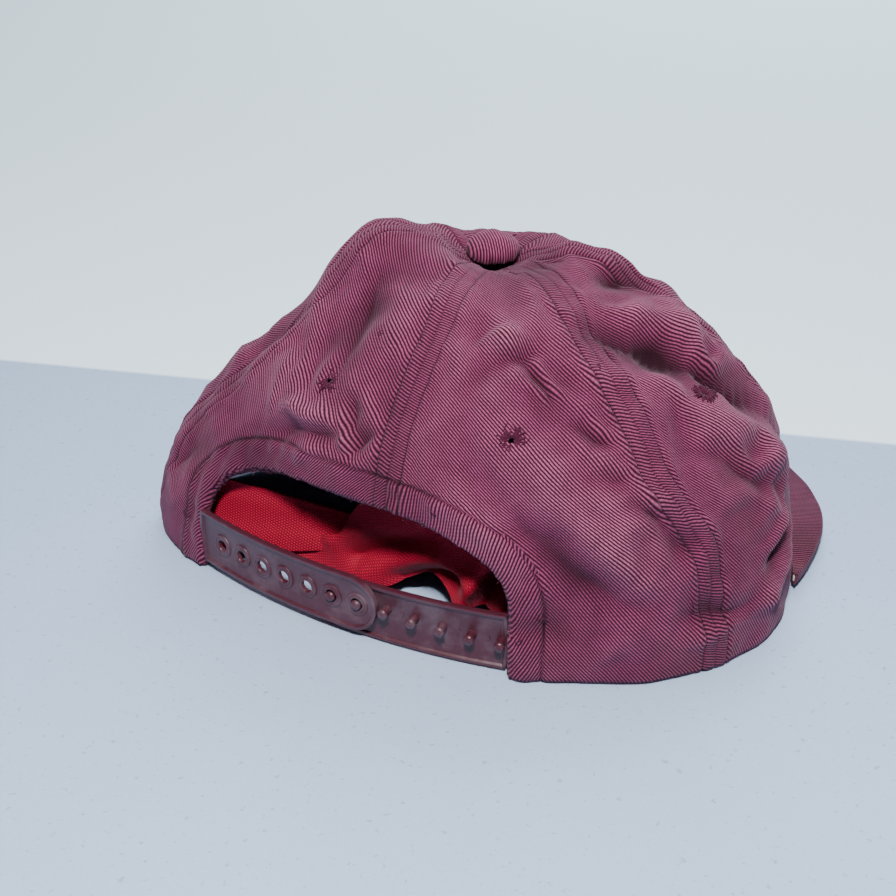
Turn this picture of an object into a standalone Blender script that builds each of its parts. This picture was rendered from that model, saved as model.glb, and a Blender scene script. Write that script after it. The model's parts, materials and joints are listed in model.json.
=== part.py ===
"""Soft six-panel cloth cap with a flat visor and a moulded snap strap.

The cap stands on a flat surface with its crown slumped. Metres, +Z up. The visor
points along -Y, the strap opening is at +Y and the wearer's left is +X.
Angles round the crown run from the back (+Y) towards the wearer's right (-X).
"""
import math

import bmesh
import bpy
import numpy as np
from mathutils import Matrix, Vector

MM = 0.001

# ---- driving dimensions -------------------------------------------------------
CAP_CENTRE = (-0.00939, -0.00886)    # middle of the whole cap in design coordinates
BUTTON_PLACE = (-0.005, -0.004)      # plan place of the button
CROWN_HEIGHT = 0.104                 # height of the undented crown
CLOTH = 0.0012                       # panel thickness, outer cloth with its hem
LAYER_GAP = 0.0008                   # space between one cloth layer and the next
SIDE_GAP = 0.00018                   # half the space between neighbouring panels

# hem outline: angle (degrees), x, y, z
HEM = [
    (0, 0.009, 0.084, 0.0), (28, -0.047, 0.082, 0.0), (45, -0.082, 0.070, 0.0),
    (60, -0.103, 0.052, 0.0), (75, -0.115, 0.029, 0.0), (90, -0.116, 0.005, 0.002),
    (102, -0.111, -0.010, 0.006), (120, -0.097, -0.027, 0.008), (150, -0.062, -0.045, 0.009),
    (180, -0.022, -0.052, 0.009), (210, 0.018, -0.048, 0.009), (240, 0.052, -0.033, 0.008),
    (257, 0.071, -0.017, 0.006), (270, 0.085, 0.000, 0.003), (285, 0.098, 0.023, 0.0),
    (300, 0.101, 0.045, 0.0), (314, 0.088, 0.062, 0.0), (326, 0.063, 0.0725, 0.0),
]
# how square-shouldered the crown is: angle, superellipse exponent
FULLNESS = [
    (0, 2.45), (30, 2.4), (60, 2.15), (90, 2.15), (120, 2.2), (150, 2.35),
    (180, 2.4), (210, 2.4), (240, 2.2), (270, 1.9), (300, 1.8), (330, 2.0),
]
# the slumps that shape the crown: height, reach, then (angle, way down) points
SLUMPS = [
    (-0.011, 0.015, [(0, 0.0), (0, 0.02)]),
    (0.011, 0.019, [(318, 0.20), (292, 0.22)]),
    (0.002, 0.018, [(165, 0.24), (120, 0.22)]),
    (0.002, 0.022, [(85, 0.70), (100, 0.72)]),
    (-0.003, 0.022, [(300, 0.50), (285, 0.55)]),
]
# seams: (way down, angle) stations for back, back right, front right, front,
# front left and back left
SEAM_NAMES = ["back", "back_right", "front_right", "front", "front_left", "back_left"]
SEAMS = [
    [(0, 14), (0.25, 11), (0.6, 8), (1, 8)],
    [(0, 62), (0.35, 50), (0.6, 52), (0.78, 59), (1, 60)],
    [(0, 117), (0.35, 106), (0.6, 109), (1, 117)],
    [(0, 180), (1, 180)],
    [(0, 240), (0.5, 243), (1, 243)],
    [(0, 303), (0.3, 316), (0.5, 318), (0.8, 308), (1, 303)],
]
PANEL_NAMES = ["back_right", "side_right", "front_right", "front_left", "side_left", "back_left"]
CROWN_HOLE = 0.035                   # the panels start here, round the button's shank
TAPE_HALF_WIDTH = 0.006
TAPE_START = 0.105
BAND_TOP = 0.80                      # sweatband's upper edge on the crown
BAND_BOTTOM = 0.985
BAND_THICK = 0.0012
TAPE_THICK = 0.0008
BUTTON_SEAT = 0.0045                 # the button's underside above the dimple's lowest point
# eyelets: (angle, way down), in the order of the panels
EYELETS = [(29, 0.54), (73, 0.52), (143, 0.51), (212, 0.51), (280, 0.51), (346, 0.49)]
EYELET_RADIUS = 0.0029
EYELET_CORD = 0.0006
PANEL_COLUMNS = 10
CROWN_ROWS = 14

# back opening and strap
LEFT_ROOT = (0.063, 0.0725)
RIGHT_ROOT = (-0.047, 0.082)
STRAP_TURN = math.radians(28)        # the strap's direction turns this much end to end
ARCH_LEFT, ARCH_RIGHT = -37.0, 28.3
ARCH_TOP, ARCH_SHOULDER = 0.695, 0.86   # the opening's sides run straight up to the shoulder
ARCH_SQUARENESS = 2.6
FACING_ENDS = 6                      # outline points left out where the sweatband begins
DEGREES_PER_METRE = 520              # angle that a metre along the hem takes at the back
SHARE_PER_METRE = 6.2                # way down that a metre along the back wall takes
STRAP_HEIGHT = 0.020
PITCH = 0.0095                       # from one peg to the next
PEGS = 7
WEB = 0.0012
RIM = 0.0008
RIM_WIDTH = 0.0015
HOLE_RADIUS = 0.0021
RING_RADIUS = 0.0038
PEG_RADIUS = 0.00135
PEG_HEAD = 0.00165
PEG_LENGTH = 0.0042
LEFT_WEB_FACE = -0.0006              # depth of the upper strap's web behind the hem face
STACK_GAP = 0.00035
LEFT_START = -0.0052                 # along the strap from the left root to its sewn end
RIGHT_START = 0.001                  # the same, back from the right root
FIRST_HOLE = 0.0047                  # along the strap from the left root
TIP_REACH = 0.0072                   # from the last hole or peg to the strap's tip
LEFT_STRAP_LIFT = 0.003
RIGHT_STRAP_LIFT = 0.0004

# visor
VISOR_MIDDLE_X = -0.022
VISOR_WAIST_Y = -0.025               # the visor is widest here
VISOR_HALF_WIDTH = 0.0985
VISOR_REACH = 0.079                  # from the waist to the front edge
VISOR_SIDE_REACH = 0.110             # from the waist back, for the nearly straight sides
VISOR_HEM = (93, 259)                # hem angles of the right and left corners
VISOR_TURN = (166, 366)              # the outer edge's own angles of the same corners
VISOR_HINGE = (-0.022, -0.006, 0.0085)
VISOR_ROOT_LOW = 0.0045              # least height of the board's middle beside the hem
VISOR_TIP_Z = 0.0026
VISOR_LEVEL_WIDTH = 0.030            # where it is narrower than this the visor slopes less
VISOR_COVER = 0.0006
VISOR_BOARD = 0.0018
VISOR_GAP = 0.0003
VISOR_CLEAR = 0.0012                 # between the crown's hem and the visor

MAROON = (0.23, 0.06, 0.10)
RED = (0.55, 0.02, 0.05)
NAVY = (0.010, 0.010, 0.018)


# ---- crown form ----------------------------------------------------------------
def round_the_crown(stations, angle):
    """Smooth closed curve through (angle, values...) stations."""
    table = np.array(stations, float)
    keys = np.concatenate([table[-2:, 0] - 360, table[:, 0], table[:2, 0] + 360])
    values = np.vstack([table[-2:, 1:], table[:, 1:], table[:2, 1:]])
    slope = np.zeros_like(values)
    slope[1:-1] = (values[2:] - values[:-2]) / (keys[2:] - keys[:-2])[:, None]
    angle = np.mod(np.asarray(angle, float), 360)
    i = np.clip(np.searchsorted(keys, angle, side="right") - 1, 1, len(keys) - 3)
    step = (keys[i + 1] - keys[i])[..., None]
    u = (angle - keys[i])[..., None] / step
    return ((2 * u**3 - 3 * u**2 + 1) * values[i] + (u**3 - 2 * u**2 + u) * step * slope[i]
            + (3 * u**2 - 2 * u**3) * values[i + 1] + (u**3 - u**2) * step * slope[i + 1])


def dome(angle, down):
    """The unslumped crown: down is the share of the way from button to hem."""
    angle, down = np.broadcast_arrays(np.asarray(angle, float), np.asarray(down, float))
    hem = round_the_crown(HEM, angle)
    hem[..., 2] = np.maximum(hem[..., 2], 0)
    power = 2 / round_the_crown(FULLNESS, angle)
    swing = np.linspace(0, math.pi / 2, 90)
    across = hem[..., :2] - np.array(BUTTON_PLACE)
    reach = np.linalg.norm(across, axis=-1)
    out = reach[..., None] * np.sin(swing) ** power
    up = (CROWN_HEIGHT - hem[..., 2:]) * np.clip(np.cos(swing), 0, 1) ** power
    steps = np.hypot(np.diff(out), np.diff(up))
    travel = np.concatenate([np.zeros(steps.shape[:-1] + (1,)), np.cumsum(steps, -1)], -1)
    travel /= travel[..., -1:]
    point = np.empty(angle.shape + (3,))
    for i in np.ndindex(angle.shape):
        r = np.interp(down[i], travel[i], out[i])
        point[i] = (BUTTON_PLACE[0] + across[i][0] / reach[i] * r,
                    BUTTON_PLACE[1] + across[i][1] / reach[i] * r,
                    hem[i][2] + np.interp(down[i], travel[i], up[i]))
    return point


def surface_normal(function, angle, down):
    """Outward normal of a crown function by small steps either way."""
    low, high = np.clip(down - 0.01, 0.004, 1), np.clip(down + 0.01, 0, 1)
    held = np.clip(down, 0.02, 1)
    around = function(angle + 1, held) - function(angle - 1, held)
    along = function(angle, high) - function(angle, low)
    normal = np.cross(along, around)
    normal /= np.linalg.norm(normal, axis=-1, keepdims=True)
    return normal


def slumped(angle, down):
    """The outer face of the crown with its bulges and hollows."""
    angle, down = np.broadcast_arrays(np.asarray(angle, float), np.asarray(down, float))
    base = dome(angle, down)
    shift = np.zeros(angle.shape)
    for height, reach, path in SLUMPS:
        ends = np.array(path, float)
        share = np.linspace(0, 1, 12)[:, None]
        line = ends[0] * (1 - share) + ends[-1] * share
        spots = dome(line[:, 0], line[:, 1])
        near = ((base[..., None, :] - spots) ** 2).sum(-1).min(-1)
        shift += height * np.exp(-near / reach**2)
    return base + surface_normal(dome, angle, down) * shift[..., None]


def crown(angle, down, inset=0.0):
    """A point of the crown, inset from its outer face along the normal."""
    angle, down = np.broadcast_arrays(np.asarray(angle, float), np.asarray(down, float))
    normal = surface_normal(slumped, angle, down)
    level = np.clip((down - 0.93) / 0.07, 0, 1)[..., None]
    flat = normal * np.array([1, 1, 0])
    flat /= np.maximum(np.linalg.norm(flat, axis=-1, keepdims=True), 1e-9)
    normal = normal * (1 - level) + flat * level
    normal /= np.linalg.norm(normal, axis=-1, keepdims=True)
    return slumped(angle, down) - normal * inset


def seam_angle(seam, down):
    """Angle of a seam at a way down, easing from station to station."""
    table = np.array(SEAMS[seam % 6], float)
    down = np.asarray(down, float)
    i = np.clip(np.searchsorted(table[:, 0], down, side="right") - 1, 0, len(table) - 2)
    u = np.clip((down - table[i, 0]) / (table[i + 1, 0] - table[i, 0]), 0, 1)
    u = u * u * (3 - 2 * u)
    return table[i, 1] * (1 - u) + table[i + 1, 1] * u


def panel_angle(panel, across, down):
    """Angle of a place on a panel, across being 0 at its first seam and 1 at its last."""
    first, last = seam_angle(panel, down), seam_angle(panel + 1, down)
    last = np.where(last < first, last + 360, last)
    return first * (1 - across) + last * across


# ---- mesh helpers --------------------------------------------------------------
def collection(name):
    group = bpy.data.collections.new(name)
    bpy.context.scene.collection.children.link(group)
    return group


def material(name, colour, roughness, metallic=0.0):
    made = bpy.data.materials.get(name) or bpy.data.materials.new(name)
    made.use_nodes = True
    shader = made.node_tree.nodes["Principled BSDF"]
    shader.inputs["Base Color"].default_value = (*colour, 1)
    shader.inputs["Roughness"].default_value = roughness
    shader.inputs["Metallic"].default_value = metallic
    return made


def add_object(name, mesh, look, group=None):
    piece = bpy.data.objects.new(name, mesh)
    (group or CAP).objects.link(piece)
    if look:
        mesh.materials.append(look)
    piece.parent = ORIGIN
    return piece


def face_outwards(bm):
    """Turn a closed mesh so that its faces point out."""
    bmesh.ops.recalc_face_normals(bm, faces=bm.faces)
    if bm.calc_volume(signed=True) < 0:
        bmesh.ops.reverse_faces(bm, faces=bm.faces)


def thin_solid(name, front, back, look):
    """A closed sheet between two grids of points, rows by columns."""
    rows, columns = front.shape[:2]
    bm = bmesh.new()
    near = [[bm.verts.new(p) for p in row] for row in front]
    far = [[bm.verts.new(p) for p in row] for row in back]
    for r in range(rows - 1):
        for c in range(columns - 1):
            bm.faces.new((near[r][c], near[r][c + 1], near[r + 1][c + 1], near[r + 1][c]))
            bm.faces.new((far[r][c], far[r + 1][c], far[r + 1][c + 1], far[r][c + 1]))
    rim = [(0, c) for c in range(columns)] + [(r, columns - 1) for r in range(1, rows)]
    rim += [(rows - 1, c) for c in range(columns - 2, -1, -1)] + [(r, 0) for r in range(rows - 2, 0, -1)]
    for (r0, c0), (r1, c1) in zip(rim, rim[1:] + rim[:1]):
        bm.faces.new((near[r0][c0], far[r0][c0], far[r1][c1], near[r1][c1]))
    face_outwards(bm)
    mesh = bpy.data.meshes.new(name)
    bm.to_mesh(mesh)
    bm.free()
    return add_object(name, mesh, look)


def turned(name, profile, place, look, segments=16):
    """A profile of (radius, height) points turned about Z, closed at the axis."""
    bm = bmesh.new()
    verts = [bm.verts.new((r, 0, z)) for r, z in profile]
    for a, b in zip(verts, verts[1:]):
        bm.edges.new((a, b))
    mesh = bpy.data.meshes.new(name)
    bm.to_mesh(mesh)
    bm.free()
    piece = add_object(name, mesh, look)
    piece.location = place
    screw = piece.modifiers.new("turn", "SCREW")
    screw.steps = screw.render_steps = segments
    screw.use_merge_vertices = True
    screw.merge_threshold = 0.00005
    return piece


def cut(piece, cutter, operation="DIFFERENCE"):
    boolean = piece.modifiers.new("cut", "BOOLEAN")
    boolean.operation = operation
    boolean.object = cutter
    return boolean


def baked(piece):
    """The evaluated mesh of a piece, in its own coordinates."""
    depsgraph = bpy.context.evaluated_depsgraph_get()
    return bpy.data.meshes.new_from_object(piece.evaluated_get(depsgraph))


# ---- crown pieces --------------------------------------------------------------
ROWS = np.linspace(CROWN_HOLE, 1, CROWN_ROWS)


def make_panel(panel, look):
    across = np.linspace(0, 1, PANEL_COLUMNS + 1)
    angle = np.array([panel_angle(panel, across, down) for down in ROWS])
    down = np.repeat(ROWS[:, None], len(across), 1)
    grids = []
    for inset in (0.0, CLOTH):
        grid = crown(angle, down, inset)
        for edge, inner in ((0, 1), (-1, -2)):
            inward = grid[:, inner] - grid[:, edge]
            inward /= np.linalg.norm(inward, axis=-1, keepdims=True)
            grid[:, edge] += inward * SIDE_GAP
        grids.append(grid)
    return thin_solid("panel_" + PANEL_NAMES[panel], *grids, look)


def arch_outline(grow, steps):
    """Angle and way down along the back opening, left corner to right corner."""
    turn = np.linspace(math.pi, 0, steps)
    power = 2 / ARCH_SQUARENESS
    side = np.sign(np.cos(turn)) * np.abs(np.cos(turn)) ** power
    rise = np.abs(np.sin(turn)) ** power
    half = (ARCH_RIGHT - ARCH_LEFT) / 2 + grow * DEGREES_PER_METRE
    height = ARCH_SHOULDER - ARCH_TOP + grow * SHARE_PER_METRE
    angle = (ARCH_RIGHT + ARCH_LEFT) / 2 + side * half
    down = ARCH_SHOULDER - rise * height
    legs = np.array([1.0, 0.93])
    angle = np.concatenate([[angle[0]] * 2, angle, [angle[-1]] * 2])
    return angle, np.concatenate([legs, down, legs[::-1]])


def make_arch_cutter(group):
    """A wedge through the back wall, wide open below, for the strap opening."""
    angle, down = arch_outline(0.0, 25)
    shell = []
    for stretch in (1.25, 0.6):
        wall = slumped(angle, down)
        middle = np.array([*BUTTON_PLACE, 0])
        ring = middle + (wall - middle) * np.array([stretch, stretch, 1])
        ring = np.vstack([ring[:1] - [0, 0, 0.01], ring, ring[-1:] - [0, 0, 0.01]])
        shell.append(ring)
    bm = bmesh.new()
    outer = [bm.verts.new(p) for p in shell[0]]
    inner = [bm.verts.new(p) for p in shell[1]]
    count = len(outer)
    for i in range(count):
        j = (i + 1) % count
        bm.faces.new((outer[i], outer[j], inner[j], inner[i]))
    bm.faces.new(outer[::-1])
    bm.faces.new(inner)
    face_outwards(bm)
    mesh = bpy.data.meshes.new("arch_cutter")
    bm.to_mesh(mesh)
    bm.free()
    cutter = add_object("arch_cutter", mesh, None, group)
    cutter.hide_render = True
    cutter.display_type = "WIRE"
    return cutter


def make_arch_facing(look):
    """The turned-in edge of the back opening, a strip inside the wall."""
    clear, wide = 0.0012, 0.0095
    grids = []
    for inset in (CLOTH + LAYER_GAP, CLOTH + LAYER_GAP + BAND_THICK):
        rows = []
        for grow in (clear, (clear + wide) / 2, wide):
            angle, down = arch_outline(grow, 27)
            rows.append(crown(angle, down, inset))
        grids.append(np.array(rows)[:, FACING_ENDS:-FACING_ENDS])
    return thin_solid("arch_facing", *grids, look)


def make_tape(seam, look):
    """Cloth tape over the inside of one seam."""
    stop = 0.60 if seam == 0 else BAND_TOP - 0.03
    downs = np.concatenate([[TAPE_START], ROWS[(ROWS > TAPE_START + 0.02) & (ROWS < stop - 0.02)], [stop]])
    middle = seam_angle(seam, downs)
    width = np.linalg.norm(dome(middle + 1, downs) - dome(middle - 1, downs), axis=-1) / 2
    swing = TAPE_HALF_WIDTH / width
    angle = middle[:, None] + swing[:, None] * np.array([-1, 0, 1])
    down = np.repeat(downs[:, None], 3, 1)
    first = CLOTH + LAYER_GAP
    return thin_solid("seam_tape_" + SEAM_NAMES[seam], crown(angle, down, first),
                      crown(angle, down, first + TAPE_THICK), look)


def make_lining(panel, look):
    """Stiff dark lining behind a front panel."""
    across = np.linspace(0.2, 0.8, 7)
    downs = ROWS[(ROWS > 0.2) & (ROWS < BAND_TOP - 0.03)]
    angle = np.array([panel_angle(panel, across, down) for down in downs])
    down = np.repeat(downs[:, None], len(across), 1)
    first = CLOTH + LAYER_GAP
    return thin_solid("lining_" + PANEL_NAMES[panel], crown(angle, down, first),
                      crown(angle, down, first + BAND_THICK), look)


def make_eyelet(panel, look):
    angle, down = (np.array(float(value)) for value in EYELETS[panel])
    normal = Vector(surface_normal(slumped, angle, down))
    place = Vector(crown(angle, down)) + normal * (EYELET_CORD + 0.0004)
    bpy.ops.mesh.primitive_torus_add(major_segments=10, minor_segments=5,
                                     major_radius=EYELET_RADIUS, minor_radius=EYELET_CORD)
    piece = bpy.context.object
    piece.name = "eyelet_" + PANEL_NAMES[panel]
    for group in list(piece.users_collection):
        group.objects.unlink(piece)
    CAP.objects.link(piece)
    piece.parent = ORIGIN
    piece.location = place
    piece.rotation_mode = "QUATERNION"
    piece.rotation_quaternion = normal.to_track_quat("Z", "Y")
    piece.data.materials.append(look)
    piece.data.shade_smooth()
    return piece


# ---- sweatband -----------------------------------------------------------------
RIGHT_TAIL = [(0.044, 0.060), (0.024, 0.0605), (0.004, 0.061), (-0.016, 0.0615), (-0.036, 0.064),
              (-0.052, 0.0715)]
LEFT_TAIL = [(0.074, 0.058), (0.062, 0.054), (0.046, 0.0535), (0.031, 0.0545)]
TAIL_LEVEL = (0.004, 0.034)          # lower and upper edge of the free tails
BAND_FIRST, BAND_LAST = 34, 320      # the band follows the hem between these angles


def make_sweatband(look):
    """Red band inside the hem, with its two ends flopped in behind the strap."""
    angle = np.arange(BAND_FIRST, BAND_LAST + 1, 5.5)
    shares = np.linspace(0, 1, 4)
    inset = CLOTH + LAYER_GAP
    downs = BAND_BOTTOM + (BAND_TOP - BAND_BOTTOM) * shares
    wall = [crown(angle, np.full(angle.shape, down), inset) for down in downs]
    rows = []
    for share, row in zip(shares, wall):
        level = TAIL_LEVEL[0] * (1 - share) + TAIL_LEVEL[1] * share
        right = np.array([(x, y, level) for x, y in RIGHT_TAIL])
        left = np.array([(x, y, level) for x, y in LEFT_TAIL])
        rows.append(np.vstack([right, row, left]))
    front = np.array(rows)
    along = np.gradient(front, axis=1)
    rise = np.gradient(front, axis=0)
    inward = np.cross(along, rise)
    inward /= np.linalg.norm(inward, axis=-1, keepdims=True)
    if inward[0, len(angle) // 2, 1] < 0:
        inward = -inward
    return thin_solid("sweatband", front, front + inward * BAND_THICK, look)


# ---- button --------------------------------------------------------------------
def make_button(cover_look, metal_look):
    top = slumped(np.array(0.0), np.array(0.0))
    seat, pocket, shank = BUTTON_SEAT, 0.0018, 0.0013
    dome_profile = [(0.0, 0.0066), (0.0035, 0.0063), (0.0062, 0.0050), (0.0082, 0.0026),
                    (0.0086, 0.0012), (0.0078, 0.0), (pocket, 0.0), (pocket, 0.0020), (0.0, 0.0020)]
    turned("top_button", dome_profile, top + [0, 0, seat], cover_look, 20)
    rivet_profile = [(0.0, seat + 0.0017), (shank, seat + 0.0017), (shank, -0.0020),
                     (0.0070, -0.0020), (0.0070, -0.0028), (0.0, -0.0028)]
    turned("button_rivet", rivet_profile, top, metal_look, 16)


# ---- strap ---------------------------------------------------------------------
def strap_geometry():
    """Centre, radius and start angle of the arc from the left root to the right root."""
    left, right = Vector(LEFT_ROOT), Vector(RIGHT_ROOT)
    chord = right - left
    radius = chord.length / 2 / math.sin(STRAP_TURN / 2)
    out = Vector((chord.y, -chord.x)).normalized()
    centre = (left + right) / 2 - out * radius * math.cos(STRAP_TURN / 2)
    return centre, radius, math.atan2(left.y - centre.y, left.x - centre.x)


STRAP_CENTRE, STRAP_RADIUS, STRAP_START = strap_geometry()
STRAP_ARC = STRAP_RADIUS * STRAP_TURN


def on_strap(along, height, depth):
    """Flat strap coordinates bent to the arc; depth is negative behind the hem face."""
    turn = STRAP_START + along / STRAP_RADIUS
    reach = STRAP_RADIUS + depth
    return Vector((STRAP_CENTRE.x + reach * math.cos(turn), STRAP_CENTRE.y + reach * math.sin(turn), height))


def strap_outline(start, end, low, high, steps=7):
    """Square at the start and round at the end, as (along, height) points."""
    radius = (high - low) / 2
    centre = end - radius if end > start else end + radius
    way = 1 if end > start else -1
    points = [(start, low)]
    for i in range(steps + 1):
        turn = -math.pi / 2 + math.pi * i / steps
        points.append((centre + way * radius * math.cos(turn), (low + high) / 2 + radius * math.sin(turn)))
    return points + [(start, high)]


def disc_outline(along, height, radius, steps):
    return [(along + radius * math.cos(2 * math.pi * i / steps),
             height + radius * math.sin(2 * math.pi * i / steps)) for i in range(steps)]


def slab(name, outline, depth_low, depth_high, group):
    """A flat outline in strap coordinates given thickness along depth."""
    bm = bmesh.new()
    face = bm.faces.new([bm.verts.new((a, h, depth_low)) for a, h in outline])
    pushed = bmesh.ops.extrude_face_region(bm, geom=[face])
    moved = [g for g in pushed["geom"] if isinstance(g, bmesh.types.BMVert)]
    bmesh.ops.translate(bm, verts=moved, vec=(0, 0, depth_high - depth_low))
    face_outwards(bm)
    mesh = bpy.data.meshes.new(name)
    bm.to_mesh(mesh)
    bm.free()
    piece = bpy.data.objects.new(name, mesh)
    group.objects.link(piece)
    piece.hide_render = True
    piece.display_type = "WIRE"
    return piece


def bent_strap(name, body, pivot_along, height, look):
    """Bake a flat strap, add cross cuts, bend it and hang it on its hinge line."""
    mesh = baked(body)
    bm = bmesh.new()
    bm.from_mesh(mesh)
    for i in range(1, 12):
        plane = (i * PITCH, 0, 0)
        geom = bm.verts[:] + bm.edges[:] + bm.faces[:]
        bmesh.ops.bisect_plane(bm, geom=geom, dist=1e-6, plane_co=plane, plane_no=(1, 0, 0))
    bmesh.ops.remove_doubles(bm, verts=bm.verts, dist=2e-6)
    bmesh.ops.triangulate(bm, faces=bm.faces)
    pivot = on_strap(pivot_along, height, LEFT_WEB_FACE)
    for vert in bm.verts:
        vert.co = on_strap(*vert.co) - pivot
    face_outwards(bm)
    bent = bpy.data.meshes.new(name)
    bm.to_mesh(bent)
    bm.free()
    piece = add_object(name, bent, look)
    piece.location = pivot
    return piece


def hole_along(number):
    return FIRST_HOLE + number * PITCH


def make_hole_strap(look, group):
    """Upper strap: seven ringed holes, a rim all round and a round tip."""
    low, high = LEFT_STRAP_LIFT, LEFT_STRAP_LIFT + STRAP_HEIGHT
    tip = hole_along(PEGS - 1) + TIP_REACH
    face, back = LEFT_WEB_FACE, LEFT_WEB_FACE - WEB
    body = slab("hole_strap_body", strap_outline(LEFT_START, tip, low, high), back, face + RIM, group)
    pocket = strap_outline(LEFT_START - 0.002, tip - RIM_WIDTH, low + RIM_WIDTH, high - RIM_WIDTH)
    cut(body, slab("hole_strap_pocket", pocket, face, face + 2 * RIM, group))
    middle = (low + high) / 2
    for number in range(PEGS):
        ring = disc_outline(hole_along(number), middle, RING_RADIUS, 12)
        cut(body, slab(f"ring_{number}", ring, face - WEB / 2, face + RIM / 2, group), "UNION")
    for number in range(PEGS):
        hole = disc_outline(hole_along(number), middle, HOLE_RADIUS, 12)
        cut(body, slab(f"hole_{number}", hole, back - RIM, face + 2 * RIM, group))
    return bent_strap("strap_holes", body, LEFT_START, low, look)


def make_peg_strap(look, group):
    """Lower strap: seven mushroom pegs; its tip lies behind the upper strap."""
    low, high = RIGHT_STRAP_LIFT, RIGHT_STRAP_LIFT + STRAP_HEIGHT
    last_peg = hole_along(PEGS - 2)
    end = last_peg - TIP_REACH
    start = STRAP_ARC - RIGHT_START
    face = LEFT_WEB_FACE - WEB - STACK_GAP - RIM
    body = slab("peg_strap_body", strap_outline(start, end, low, high), face - WEB, face + RIM, group)
    pocket = strap_outline(start + 0.002, end + RIM_WIDTH, low + RIM_WIDTH, high - RIM_WIDTH)
    cut(body, slab("peg_strap_pocket", pocket, face, face + 2 * RIM, group))
    middle = LEFT_STRAP_LIFT + STRAP_HEIGHT / 2
    for number in range(PEGS):
        lean = max(0.0, (number - 1) / (PEGS - 2)) * (LEFT_STRAP_LIFT - RIGHT_STRAP_LIFT)
        place = (last_peg + number * PITCH, middle - lean)
        shank = disc_outline(*place, PEG_RADIUS, 8)
        head = disc_outline(*place, PEG_HEAD, 8)
        cut(body, slab(f"shank_{number}", shank, face - WEB / 2, face + PEG_LENGTH * 0.7, group), "UNION")
        cut(body, slab(f"head_{number}", head, face + PEG_LENGTH * 0.64, face + PEG_LENGTH, group), "UNION")
    return bent_strap("strap_pegs", body, start, low, look)


# ---- visor ---------------------------------------------------------------------
def visor_grid(shrink, columns=25, rows=4):
    """Points of the board's middle between the crown's hem and the visor's outer edge."""
    hem = round_the_crown(HEM, np.linspace(*VISOR_HEM, columns))
    outward = hem[:, :2] - np.array(VISOR_HINGE[:2])
    outward /= np.linalg.norm(outward, axis=1, keepdims=True)
    inner = hem[:, :2] + outward * VISOR_CLEAR
    turn = np.radians(np.linspace(*VISOR_TURN, columns))
    reach = np.where(np.sin(turn) < 0, VISOR_REACH, VISOR_SIDE_REACH)
    outer = np.stack([VISOR_MIDDLE_X + VISOR_HALF_WIDTH * np.cos(turn),
                      VISOR_WAIST_Y + reach * np.sin(turn)], 1)
    width = np.linalg.norm(outer - inner, axis=1, keepdims=True)
    root = np.maximum(hem[:, 2:], VISOR_ROOT_LOW)
    tip = root + (VISOR_TIP_Z - root) * np.clip(width / VISOR_LEVEL_WIDTH, 0, 1)
    margin = np.minimum(shrink / width, 0.3)
    share = margin + np.linspace(0, 1, rows)[:, None, None] * (1 - 2 * margin)
    return np.concatenate([inner * (1 - share) + outer * share, root * (1 - share) + tip * share], -1)


def visor_layer(name, shrink, low, high, look):
    grid = visor_grid(shrink)
    piece = thin_solid(name, grid + [0, 0, high], grid + [0, 0, low], look)
    piece.data.transform(Matrix.Translation(-Vector(VISOR_HINGE)))
    piece.location = VISOR_HINGE
    return piece


def make_visor(cloth_look, board_look):
    half = VISOR_BOARD / 2
    visor_layer("visor_board", 0.0012, -half, half, board_look)
    visor_layer("visor_top_cover", 0.0, half + VISOR_GAP, half + VISOR_GAP + VISOR_COVER, cloth_look)
    visor_layer("visor_bottom_cover", 0.0, -half - VISOR_GAP - VISOR_COVER, -half - VISOR_GAP, cloth_look)


# ---- assembly ------------------------------------------------------------------
for old in list(bpy.data.objects):
    bpy.data.objects.remove(old)
CAP = collection("six_panel_cap")
CUTTERS = collection("cutters")
ORIGIN = bpy.data.objects.new("cap_origin", None)
CAP.objects.link(ORIGIN)
ORIGIN.location = (-CAP_CENTRE[0], -CAP_CENTRE[1], 0)


def main():
    twill = material("maroon_twill", MAROON, 0.9)
    thread = material("maroon_thread", (0.08, 0.01, 0.03), 0.8)
    tape = material("seam_tape", NAVY, 0.9)
    band = material("red_band", RED, 0.9)
    plastic = material("maroon_plastic", (0.16, 0.035, 0.06), 0.4)
    board = material("visor_board", (0.75, 0.73, 0.68), 0.6)
    metal = material("rivet_steel", (0.6, 0.6, 0.6), 0.35, 1.0)
    cutter = make_arch_cutter(CUTTERS)
    for panel in range(6):
        piece = make_panel(panel, twill)
        if PANEL_NAMES[panel].startswith("back"):
            cut(piece, cutter)
        make_eyelet(panel, thread)
    for seam in range(6):
        make_tape(seam, tape)
    make_arch_facing(twill)
    make_lining(2, tape)
    make_lining(3, tape)
    make_sweatband(band)
    make_button(twill, metal)
    make_hole_strap(plastic, CUTTERS)
    make_peg_strap(plastic, CUTTERS)
    make_visor(twill, board)


main()
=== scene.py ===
"""A washed, slumped six-panel cloth cap with a flat visor and a moulded snap strap.

Metres, +Z up. The visor points along -Y, the strap opening is at +Y and the wearer's
left is +X. A place on the crown is an angle, from the back towards the wearer's right,
and a way down, from 0 at the button to 1 at the hem.
"""

import json
import math

import bmesh
import bpy
import numpy as np
from mathutils import Matrix, Vector


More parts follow.
